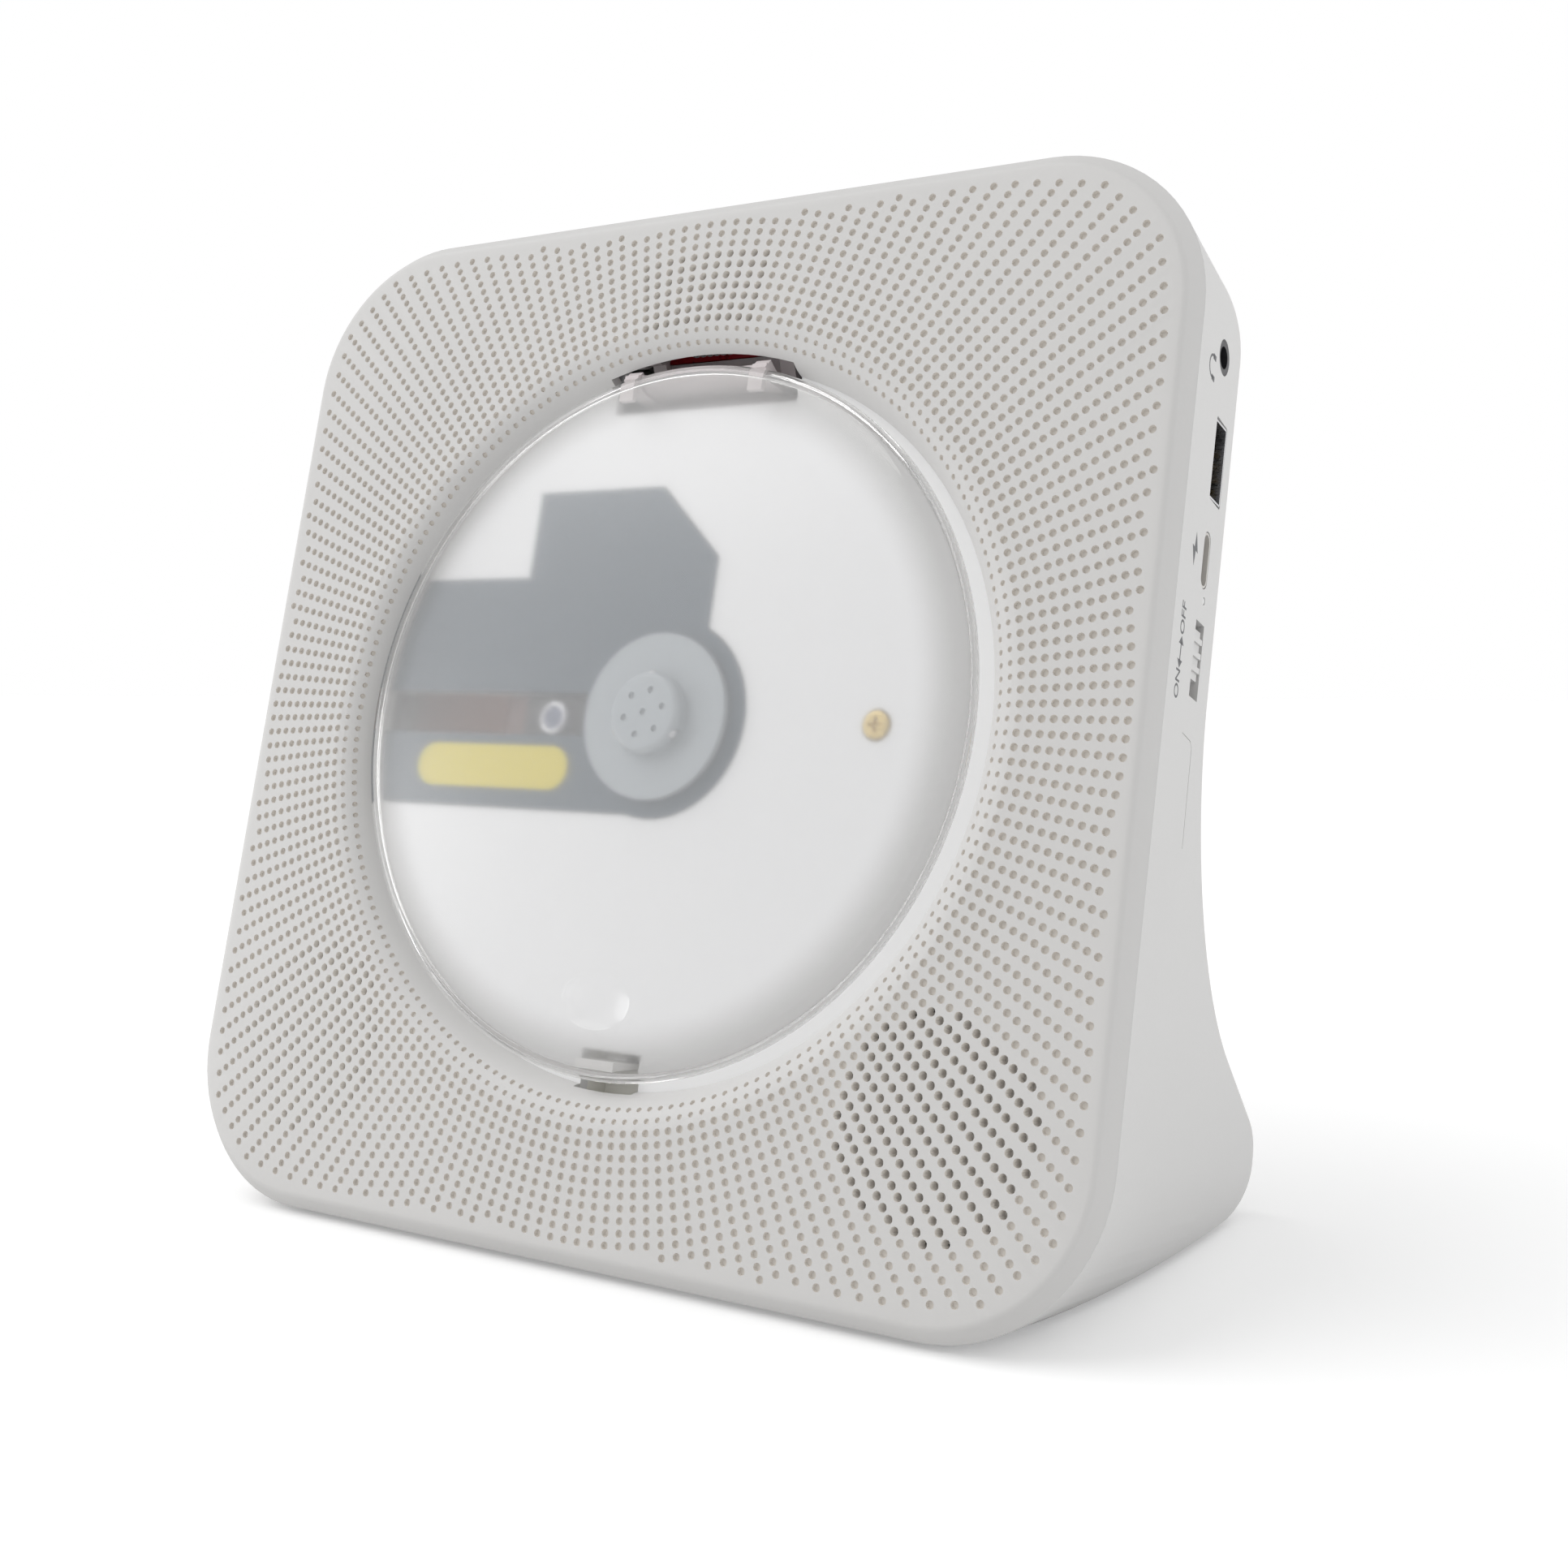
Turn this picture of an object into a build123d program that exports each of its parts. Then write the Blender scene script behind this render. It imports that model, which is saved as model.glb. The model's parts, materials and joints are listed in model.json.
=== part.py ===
from build123d import *
import os
from math import asin, atan2, cos, degrees, hypot, pi, radians, sin, sqrt, tan

# Desktop disc player: a square case that leans back on a deep foot, with a disc well under a hinged lid.
# Lengths are in millimetres. The front looks along -Y, and the case stands on four rubber pads at Z = 0.
# Places on the front are X and Y in the leaning face, from the disc's axis, with depth behind the face.

# Case
tilt = 14
case_size = 189.8
case_corner = 29
edge_chamfer = 2.4
wall = 2.2
back_depth = 26.5
side_taper = 3
flare_height = -29.2
flare_angle = 63
flare_radius = 64
heel_radius = 11
lip_width = 1.2
lip_depth = 2.2
lip_gap = 0.15
pad_radius = 6
pad_proud = 1.2
pad_recess = 1.0
pad_gap = 0.1
pad_side_inset = 34.9
pad_front_inset = 13
pad_back_inset = 19

# Disc well and lid
well_radius = 65.2
roll_radius = 7.3
roll_wall = 2.0
well_depth = 6.3
deck_thickness = 2.0
deck_overlap = 4.8
deck_radius = well_radius + deck_overlap
lid_gap = 1.2
lid_radius = well_radius - lid_gap
lid_crown = 2.0
lid_dome_radius = 1250
lid_wall = 1.6
lid_shoulder = 3.0
lid_edge_depth = 2.8
finger_inset = 13.5
finger_place = finger_inset - lid_radius
finger_length = 16.3
finger_width = 10
finger_sink = 0.5

# Lid hinge
hinge_beyond_well = 5.3
hinge_height = well_radius + hinge_beyond_well
hinge_depth = 7.5
hinge_pin_radius = 1.0
hinge_run_gap = 0.05
hinge_slot_half = 20
hinge_slot_top = 3.0
hinge_floor_inset = 7.7
hinge_floor_edge = well_radius - hinge_floor_inset
arm_place = 14
arm_width = 3
arm_inner = 8.0
arm_outer = 10.4
arm_start = 142
arm_end = 235
arm_web_start = 210
arm_eye = 2.6
arm_plate_top = 1.4
arm_plate_thickness = 1.0
arm_plate_inset = 12
arm_plate_low = lid_radius - arm_plate_inset
arm_bar_inset = 6
arm_bar_high = lid_radius - arm_bar_inset
ear_width = 2.5
ear_place = 17.8
ear_radius = 3.0
spring_wire = 0.5
spring_radius = 1.65
spring_pitch = 1.5
spring_turns = 8

# Lid catch
hook_half = 4
hook_thickness = 1.6
hook_inset = 2.8
hook_place = lid_radius - hook_inset
hook_reach = 10.4
hook_pad_depth = 2.0
notch_half = 6.2
notch_beyond_well = 1.2
notch_length = 7.6
notch_outer = well_radius + notch_beyond_well
notch_inner = notch_outer - notch_length
clip_gap = 0.3
clip_leaf = 0.5
clip_length = 3.6
bracket_wall = 1.2
bracket_depth = 6.2
notch_top = 4.5
hook_pad_margin = 1.0
arm_notch_depth = 0.8
arm_notch_gap = 0.3
arm_neck_inset = 0.8
arm_neck_end = lid_radius - arm_neck_inset
arm_notch_inset = 1.0

# Perforations
hole_radius = 0.65
hole_spokes = 200
hole_ring_step = 2.0
hole_first_inset = 0.192
hole_first_ring = well_radius + roll_radius - hole_first_inset
hole_edge_margin = 2.0
hole_corner_margin = 3.0
display_spokes = 5
display_rings = 7
speaker_hole_span = 17.4

# Mechanism
cover_plate_proud = 0.3
cover_plate_thickness = 1.2
cover_plate_gap = 0.2
cover_plate_hub_radius = 18
lens_window_low = -3.7
lens_window_high = 4.3
lens_window_end = -16.4
turntable_radius = 15
turntable_depth = 4.3
turntable_thickness = 1.2
turntable_boss = 2.6
turntable_hole = 4.4
hub_radius = 7.35
hub_top_depth = 1.3
hub_ball_radius = 1.1
hub_ball_angles = (90, 210, 330)
spindle_radius = 0.75
motor_bore = 0.8
chassis_depth = 14.0
chassis_thickness = 1.5
spindle_motor_radius = 10
motor_length = 8
sled_motor_radius = 6
sled_travel = 34
lens_place = -23.8
lens_height = -0.4
lens_radius = 2.95
rod_radius = 1.25
rod_run_gap = 0.05
rod_depth = 11.3
rod_low = -9.5
rod_high = 8.5
rod_end_inner = -9
rod_end_outer = -75
rod_block = 3.0
gear_tooth_share = 0.36
rack_module = 0.5
rack_line = 17
small_gear_teeth = 16
train_module = 0.4
large_gear_teeth = 45
pinion_teeth = 12
drive_gear_x = -40
train_angle = 45
damper_radius = 3.2
damper_height = 2.6
pill_length = 36
pill_width = 8.1
pill_place = (-36.7, -9.8)
pill_thickness = 0.15
floor_screw_place = (44.2, -0.4)
floor_screw_recess = 2.75
floor_screw_sink = 1.2
window_end_gap = 0.6
turntable_boss_length = 1.6
hub_cap = 0.8
motor_floor = 3
motor_edge_round = 1.0
chassis_shaft_hole = 2.0
gear_post_radius = 1.0
gear_washer = 1.2
gear_run_gap = 0.05
gear_top = 9.6
small_gear_bottom = 11.7
large_gear_top = 12.0
large_gear_bottom = 13.4
train_clearance = 0.3
rack_back = 13
rack_margin = 3.5
sled_length = 26
sled_low = -12.5
sled_high = 11
sled_top = 9.0
sled_bottom = 13.6
optics_left = -33.8
optics_right = -13.8
optics_width = 13
optics_height = 5.4
optics_gap = 1.0
riser_left = -31
riser_right = -16.8
riser_top = 6.9
riser_gap = 0.4
lens_rise = 0.8
damper_places = ((-58, 28), (-60, -16), (10, -15), (8, 30))

# Sockets and switch on the right side, as drops below the headphone jack and depths behind the face
sockets_inset = 31.7
jack_depth = 15.5
usb_drop = 16.8
usb_depth = 18.0
charge_drop = 33.55
charge_depth = 16.3
lamp_drop = 39.9
lamp_depth = 17.4
switch_drop = 48.8
switch_depth = 16.7
switch_travel = 2.5
side_board_inset = 16.3
side_board_above = 10.8
side_board_below = 20.4
side_board_front = 8.5
side_board_back = 23.5
side_post_inset = 3
side_post_radius = 2.5
board_thickness = 1.2
jack_bore = 1.8
jack_barrel = 2.8
jack_bore_length = 14
jack_body = 8.0
usb_width = 13.1
usb_height = 5.6
usb_metal = 0.35
usb_tongue_width = 11.1
usb_tongue_height = 1.9
charge_width = 9.0
charge_height = 3.2
charge_metal = 0.35
port_gap = 0.3
lamp_radius = 0.5
lamp_hole_radius = 0.65
switch_slot_length = 12.3
switch_slot_width = 4.6
knob_length = 8.0
knob_ridges = 3
knob_ridge_pitch = 2.3
knob_ridge_width = 0.9
knob_ridge_height = 0.4
knob_plate_length = 16
knob_plate_width = 6.2
knob_plate_thickness = 0.8
knob_stem = 2.0
knob_stem_length = 4.2
switch_slot_shift = 1.0
switch_body_length = 15
switch_body_width = 7
switch_body_gap = 1.6
socket_gap = 0.5
socket_sink = 0.1
socket_floor = 1.0
tongue_sink = 1.2
usb_tongue_shift = 0.9
charge_tongue_width = 6.5
charge_tongue_height = 0.7
lamp_base = 3

# Speakers
speaker_inset = (28.9, 31.9)
speaker_radius = 20
speaker_rim = 2.4
speaker_flange = 1.6
speaker_throat = 6
speaker_cone_depth = 8
speaker_basket_depth = 9.5
speaker_magnet_radius = 11
speaker_magnet_depth = 7
speaker_screw_ring = 22.0

# Display behind the top perforations
display_board_depth = 7
display_inset = 13.9
display_height = 11.5
display_length = 29
display_gap = 0.6
display_post_x = 21
display_post_radius = 2.5
display_board_margin = 3.5

# Buttons on the top edge
button_names = ("previous_button", "play_button", "next_button", "volume_down_button", "volume_up_button")
button_pitch = 18
button_length = 13.4
button_width = 6.4
button_depth = 14.4
button_proud = 0.5
button_travel = 0.8
button_flange = 1.2
button_gap = 0.3
flange_gap = 0.5
button_flange_thickness = 1.0
button_plunger = 1.5
button_switch_size = 6
button_switch_height = 3.4
button_board_drop = 9.5
button_board_margin = 22
button_board_half = 2 * button_pitch + button_board_margin
button_board_width = 11

# Fasteners and boards
screw_radius = 1.1
screw_head_radius = 2.5
screw_head_height = 1.8
thread_gap = 0.05
pilot_start = 1.0
post_radius = 3.0
case_screw_inset = 14.9
side_screw_inset = 10.9
side_screw_height = -16
case_screw_seat = 14
case_tube_radius = 4.3
case_tube_floor = 2
case_screw_length = 9
deck_ear_reach = 9.3
deck_ear_ring = well_radius + deck_ear_reach
deck_ear_radius = 4.2
deck_screw_length = 4.6
chassis_screw_length = 6.5
speaker_screw_length = 2.6
speaker_post_radius = 1.9
board_screw_length = 4.8
deck_ear_angles = (38, 142, 200, 340)
main_board_size = (84, 34)
main_board_y = -14
main_board_lift = 5
cell_radius = 9.2
cell_length = 65
cell_y = 17.5
cell_gap = 1
cell_floor = 1.2
chip_layout = (
    ((-8, 2), (14, 14, 1.6)),
    ((14, -4), (9, 9, 1.2)),
    ((-30, -6), (10, 6, 3.0)),
    ((30, 6), (8, 12, 4.0)),
)
capacitor_places = ((26, -9), (34, -9), (4, 10))
capacitor_radius = 3
capacitor_height = 8

half = case_size / 2
lean = radians(tilt)
flare = radians(flare_angle)
flat_half = half - edge_chamfer
seam_depth = edge_chamfer
roll_centre = well_radius + roll_radius
display_middle = half - display_inset
speaker_place = (half - speaker_inset[0], speaker_inset[1] - half)
side_board_x = half - side_board_inset
jack_height = half - sockets_inset
jack_place = (jack_height, jack_depth)
usb_place = (jack_height - usb_drop, usb_depth)
charge_place = (jack_height - charge_drop, charge_depth)
lamp_place = (jack_height - lamp_drop, lamp_depth)
switch_place = (jack_height - switch_drop, switch_depth)
case_screw_places = [
    (side * (half - inset), height)
    for inset, height in ((case_screw_inset, half - case_screw_inset), (side_screw_inset, side_screw_height))
    for side in (1, -1)
]


def crossing(start, direction, other_start, other_direction):
    """Point where two straight lines of one plane meet."""
    across = direction.cross(other_direction).Z
    along = (other_start - start).cross(other_direction).Z / across
    return start + direction * along


# The side view is drawn as height up the face and height out of it.
flare_line = Vector(-cos(flare), -sin(flare))
flare_normal = Vector(sin(flare), -cos(flare))
ground_line = Vector(sin(lean), -cos(lean))
ground_normal = Vector(-cos(lean), -sin(lean))
seam_foot = Vector(-half, -seam_depth)
flare_corner = Vector(flare_height, -back_depth)
heel_corner = crossing(flare_corner, flare_line, seam_foot, ground_line)
heel_angle = radians(90 + tilt - flare_angle)
heel_tangent = heel_radius / tan(heel_angle / 2)
front_reach = flat_half * sin(lean)
back_reach = -heel_corner.dot(Vector(-sin(lean), cos(lean))) - heel_tangent + heel_radius
base_depth = front_reach + back_reach
face_y = front_reach - base_depth / 2
face_z = pad_proud + half * cos(lean) + seam_depth * sin(lean)

face = Plane(origin=(0, face_y, face_z), x_dir=(1, 0, 0), z_dir=(0, -cos(lean), sin(lean)))


def at_depth(depth):
    """Plane parallel to the face, behind it by depth."""
    return face.offset(-depth)


def side_plane(x):
    """Upright plane across X: its X runs up the face and its Y runs out of it."""
    return Plane(origin=face.from_local_coords((x, 0, 0)), x_dir=face.y_dir, z_dir=(1, 0, 0))


def top_plane(height):
    """Plane across the face at a height on it: its X runs to the right and its Y runs into the case."""
    return Plane(origin=face.from_local_coords((0, height, 0)), x_dir=(1, 0, 0), z_dir=face.y_dir)


def side_wall_x(depth):
    """Half width of the case's outside at a depth behind the face."""
    return half - (depth - seam_depth) * tan(radians(side_taper))


def polar(radius, angle):
    """Point on the face at a radius and an angle in degrees."""
    return (radius * cos(radians(angle)), radius * sin(radians(angle)))


def finish(part, name):
    """Name a finished piece and write its file."""
    part.label = name
    export_step(part, f"parts/{name}.step")


def hole_places(wanted):
    """Places of the spoked pattern of perforations that a test accepts."""
    flat_edge = flat_half - hole_edge_margin
    flat_corner = case_corner - hole_corner_margin
    furthest = sqrt(2) * (flat_edge - flat_corner) + flat_corner
    places = []
    for spoke in range(hole_spokes):
        for ring in range(int((furthest - hole_first_ring) / hole_ring_step) + 1):
            x, y = polar(hole_first_ring + ring * hole_ring_step, spoke * 360 / hole_spokes)
            corner_x = max(abs(x) - (flat_edge - flat_corner), 0)
            corner_y = max(abs(y) - (flat_edge - flat_corner), 0)
            inside = max(abs(x), abs(y)) < flat_edge and hypot(corner_x, corner_y) < flat_corner
            if inside and wanted(spoke, ring, x, y):
                places.append((x, y))
    return places


def over_display(spoke, ring, x, y):
    """True for perforations in front of the display."""
    return abs(spoke - hole_spokes // 4) <= display_spokes and ring < display_rings


def over_speaker(spoke, ring, x, y):
    """True for perforations in front of a speaker cone."""
    return hypot(abs(x) - speaker_place[0], y - speaker_place[1]) < speaker_hole_span


def housing_block(inset):
    """The outside of the rear housing, or its inside when it is set in by the wall."""
    reach = back_reach + front_reach + case_corner
    size = case_size - 2 * inset
    with BuildPart() as block:
        with BuildSketch(at_depth(seam_depth)):
            RectangleRounded(size, size, case_corner - inset)
        extrude(amount=-reach, taper=side_taper)
        top = half + heel_radius
        back = inset - back_depth
        bend = crossing(Vector(top, back), Vector(-1, 0), flare_corner - flare_normal * inset, flare_line)
        heel = crossing(bend, flare_line, seam_foot - ground_normal * inset, ground_line)
        toe = crossing(heel, ground_line, seam_foot, Vector(1, 0))
        with BuildSketch(side_plane(0)) as side_view:
            with BuildLine():
                Polyline((top, -seam_depth), (top, back), bend, heel, toe, close=True)
            make_face()
            fillet(side_view.vertices().sort_by_distance(bend)[0], flare_radius + inset)
            fillet(side_view.vertices().sort_by_distance(heel)[0], heel_radius - inset)
        extrude(amount=half + wall, both=True, mode=Mode.INTERSECT)
    return block.part


def lid_height(radius, sink):
    """Height out of the face of the lid's dome, or of a dome sunk below it about the same centre."""
    return lid_crown - lid_dome_radius + sqrt((lid_dome_radius - sink) ** 2 - radius**2)


def screw(plane, place, length):
    """A round-headed screw whose shank runs against the plane's normal from the head's seat."""
    with BuildPart() as fastener:
        with BuildSketch(plane):
            with Locations(place):
                Circle(screw_radius)
        extrude(amount=-length)
        with BuildSketch(plane):
            with Locations(place):
                Circle(screw_head_radius)
        extrude(amount=screw_head_height)
        fillet(fastener.edges().group_by(Axis(plane.origin, plane.z_dir))[-1], screw_head_height / 3)
    return fastener.part


def gear_outline(teeth, module, phase):
    """Outline of a spur gear with slim straight-sided teeth, one of them centred on the phase angle."""
    pitch_radius = teeth * module / 2
    tip = pitch_radius + 0.8 * module
    root = pitch_radius - 1.1 * module
    share = 2 * pi / teeth * gear_tooth_share / 2
    points = []
    for tooth in range(teeth):
        middle = radians(phase) + tooth * 2 * pi / teeth
        for radius, turn in ((root, -1.5), (tip, -0.7), (tip, 0.7), (root, 1.5)):
            points.append((radius * cos(middle + turn * share), radius * sin(middle + turn * share)))
    return points


os.makedirs("parts", exist_ok=True)

# Rear housing with its posts, seats and sockets' holes
housing_outside = housing_block(0)
housing_inside = housing_block(wall)
button_top = half - (button_depth - seam_depth) * tan(radians(side_taper)) + button_proud
button_board_top = button_top - button_board_drop
button_places = [((index - 2) * button_pitch, button_depth) for index in range(5)]
side_board_low = switch_place[0] - side_board_below
side_board_high = jack_place[0] + side_board_above
side_post_heights = (side_board_low + side_post_inset, side_board_high - side_post_inset)
side_board_middle = (side_board_front + side_board_back) / 2
side_posts = [(height, -side_board_middle) for height in side_post_heights]
button_post_x = button_board_half - 4
button_posts = ((button_post_x, button_depth), (-button_post_x, button_depth))
display_post_places = ((-display_post_x, display_middle), (display_post_x, display_middle))
pilot = screw_radius + thread_gap
floor_z = pad_proud + wall
board_z = floor_z + main_board_lift
board_post_places = [
    (x * (main_board_size[0] / 2 - 4), main_board_y + y * (main_board_size[1] / 2 - 4))
    for x in (-1, 1)
    for y in (-1, 1)
]
ground_front = face_y - half * sin(lean) + seam_depth * cos(lean)
ground_back = base_depth / 2
pad_places = [
    (x, y)
    for x in (pad_side_inset - half, half - pad_side_inset)
    for y in (ground_front + pad_front_inset, ground_back - pad_back_inset)
]

with BuildPart() as rear_housing:
    add(housing_outside)
    add(housing_inside, mode=Mode.SUBTRACT)
    for place in case_screw_places:
        with BuildSketch(at_depth(case_screw_seat - case_tube_floor)):
            with Locations(place):
                Circle(case_tube_radius)
        extrude(amount=-(back_depth + 4 * wall - case_screw_seat))
    with BuildSketch(at_depth(well_depth + deck_thickness)):
        with Locations(floor_screw_place):
            Circle(post_radius)
    extrude(amount=-(back_depth + wall - well_depth - deck_thickness))
    with BuildSketch(side_plane(side_board_x + board_thickness)):
        with Locations(*side_posts):
            Circle(side_post_radius)
    extrude(amount=side_wall_x(side_board_middle) - side_board_x - board_thickness - wall / 2)
    with BuildSketch(top_plane(button_board_top)):
        with Locations(*button_posts):
            Circle(post_radius)
    extrude(amount=button_top - button_proud - button_board_top - wall / 2)
    with BuildSketch(Plane.XY.offset(board_z)):
        with Locations(*board_post_places):
            Circle(post_radius)
    extrude(amount=-main_board_lift)
    add(housing_outside, mode=Mode.INTERSECT)
    for place in case_screw_places:
        with BuildSketch(at_depth(case_screw_seat)):
            with Locations(place):
                Circle(screw_head_radius + port_gap)
        extrude(amount=-2 * back_depth, mode=Mode.SUBTRACT)
        with BuildSketch(at_depth(seam_depth)):
            with Locations(place):
                Circle(pilot)
        extrude(amount=-case_screw_seat, mode=Mode.SUBTRACT)
    with BuildSketch(at_depth(seam_depth)):
        with Locations(floor_screw_place):
            Circle(pilot)
    extrude(amount=-case_screw_seat, mode=Mode.SUBTRACT)
    with BuildSketch(side_plane(side_board_x)):
        with Locations(*side_posts):
            Circle(pilot)
    extrude(amount=8, mode=Mode.SUBTRACT)
    with BuildSketch(top_plane(button_board_top)):
        with Locations(*button_posts):
            Circle(pilot)
    extrude(amount=5, mode=Mode.SUBTRACT)
    with BuildSketch(Plane.XY.offset(board_z)):
        with Locations(*board_post_places):
            Circle(pilot)
    extrude(amount=-main_board_lift, mode=Mode.SUBTRACT)
    with BuildSketch(Plane.XY.offset(pad_proud)):
        with Locations(*pad_places):
            Circle(pad_radius + pad_gap)
    extrude(amount=pad_recess, mode=Mode.SUBTRACT)
    with BuildSketch(top_plane(half)):
        with Locations(*button_places):
            RectangleRounded(button_length + 2 * button_gap, button_width + 2 * button_gap, 1.5)
    extrude(amount=-4 * wall, mode=Mode.SUBTRACT)
    with BuildSketch(side_plane(side_wall_x(0) - 3 * wall)):
        with Locations((jack_place[0], -jack_place[1])):
            Circle(jack_barrel + port_gap / 3)
        with Locations((usb_place[0], -usb_place[1])):
            RectangleRounded(usb_width + 2 * port_gap, usb_height + 2 * port_gap, 0.5)
        with Locations((charge_place[0], -charge_place[1])):
            RectangleRounded(charge_width + port_gap, charge_height + port_gap, charge_height / 2)
        with Locations((lamp_place[0], -lamp_place[1])):
            Circle(lamp_hole_radius)
        with Locations((switch_place[0] - switch_slot_shift, -switch_place[1])):
            Rectangle(switch_slot_length, switch_slot_width)
    extrude(amount=4 * wall, mode=Mode.SUBTRACT)
finish(rear_housing.part, "rear_housing")

# Front cover: flat face, chamfered edge, rolled well edge, perforations, hinge ears and screw posts
cover_back = seam_depth
lip_size = case_size - 2 * (wall + lip_gap)
lip_inner = lip_size - 2 * lip_width
deck_ears = [polar(deck_ear_ring, angle) for angle in deck_ear_angles]
deck_back = well_depth + deck_thickness
speaker_places = [(side * speaker_place[0], speaker_place[1]) for side in (-1, 1)]
speaker_screw_places = []
for speaker_x, speaker_y in speaker_places:
    outward = degrees(atan2(speaker_y, speaker_x))
    for turn in (-105, 0, 105):
        step_x, step_y = polar(speaker_screw_ring, outward + turn)
        speaker_screw_places.append((speaker_x + step_x, speaker_y + step_y))
speaker_seat = cover_back + speaker_flange
roll_rise = roll_radius - well_depth
roll_inner = roll_radius - roll_wall
foot_angle = degrees(atan2(roll_rise, sqrt(roll_radius**2 - roll_rise**2)))
inner_foot_angle = degrees(atan2(roll_rise, sqrt(roll_inner**2 - roll_rise**2)))
roll_middle = (roll_centre, -roll_radius)

with BuildPart() as front_cover:
    with BuildSketch(at_depth(cover_back)):
        RectangleRounded(case_size, case_size, case_corner)
    extrude(amount=edge_chamfer, taper=45)
    with BuildSketch(at_depth(cover_back)):
        RectangleRounded(lip_size, lip_size, case_corner - wall - lip_gap)
        RectangleRounded(lip_inner, lip_inner, case_corner - wall - lip_width, mode=Mode.SUBTRACT)
        with Locations((0, -half)):
            Rectangle(case_size, 2 * case_corner, mode=Mode.SUBTRACT)
    extrude(amount=-lip_depth)
    with BuildSketch(face):
        Circle(roll_centre)
    extrude(amount=-cover_back, mode=Mode.SUBTRACT)
    with BuildSketch(side_plane(0)):
        with BuildLine():
            outer_roll = CenterArc(roll_middle, roll_radius, 90, 90 - foot_angle)
            inner_roll = CenterArc(roll_middle, roll_inner, 90, 90 - inner_foot_angle)
            Line(outer_roll @ 0, inner_roll @ 0)
            Line(outer_roll @ 1, inner_roll @ 1)
        make_face()
    revolve(axis=Axis(face.origin, face.z_dir))
    with BuildSketch(at_depth(hinge_slot_top)):
        with Locations((0, roll_centre - roll_radius)):
            Rectangle(2 * hinge_slot_half, 2 * roll_radius)
    extrude(amount=-roll_radius, mode=Mode.SUBTRACT)
    with BuildSketch(at_depth(notch_top)):
        with Locations((0, -notch_outer / 2)):
            Rectangle(2 * notch_half, notch_outer)
    extrude(amount=-roll_radius, mode=Mode.SUBTRACT)
    for side in (-1, 1):
        with BuildSketch(side_plane(side * ear_place)):
            with Locations((hinge_height, -hinge_depth)):
                Circle(ear_radius)
            with Locations((hinge_height, -(hinge_depth + cover_back - lip_gap) / 2)):
                Rectangle(2 * ear_radius, hinge_depth - cover_back + lip_gap)
        extrude(amount=ear_width / 2, both=True)
    with BuildSketch(side_plane(0)):
        with Locations((hinge_height, -hinge_depth)):
            Circle(hinge_pin_radius + thread_gap)
    extrude(amount=hinge_slot_half, both=True, mode=Mode.SUBTRACT)
    with BuildSketch(at_depth(cover_back)):
        with Locations(*deck_ears):
            Circle(post_radius)
    extrude(amount=cover_back - well_depth)
    with BuildSketch(at_depth(cover_back)):
        with Locations(*case_screw_places):
            Circle(post_radius)
    extrude(amount=cover_back - case_screw_seat + case_tube_floor)
    with BuildSketch(at_depth(cover_back)):
        with Locations(*speaker_screw_places):
            Circle(speaker_post_radius)
    extrude(amount=-speaker_flange)
    with BuildSketch(at_depth(cover_back)):
        with Locations(*display_post_places):
            Circle(display_post_radius)
    extrude(amount=cover_back - display_board_depth)
    with BuildSketch(at_depth(pilot_start)):
        with Locations(*deck_ears, *case_screw_places, *speaker_screw_places, *display_post_places):
            Circle(pilot)
    extrude(amount=-case_screw_seat, mode=Mode.SUBTRACT)
    with BuildSketch(face):
        with Locations(*hole_places(over_display), *hole_places(over_speaker)):
            Circle(hole_radius)
    extrude(amount=-cover_back, mode=Mode.SUBTRACT)
finish(front_cover.part, "front_cover")

# Disc deck: the floor of the well, with its recess, windows and notches
window_length = well_radius + window_end_gap + lens_window_end
window_place = (lens_window_end - window_length / 2, (lens_window_low + lens_window_high) / 2)
window_width = lens_window_high - lens_window_low


def cover_plate_corners(gap):
    """Corners of the raised mechanism cover, widened by a gap, without its round end about the hub."""
    left, step, shoulder, right = -deck_radius, -34.4, -6.1, 7.8
    low, high, top, corner = -17.4, 26.2, 42.8, 29.4
    return [
        (left, low - gap),
        (left, high + gap),
        (step - gap, high + gap),
        (step - gap, top + gap),
        (shoulder + gap / 2, top + gap),
        (right + gap, corner + gap / 2),
        (right + gap, 0),
        (4.4, low - gap),
    ]


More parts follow.
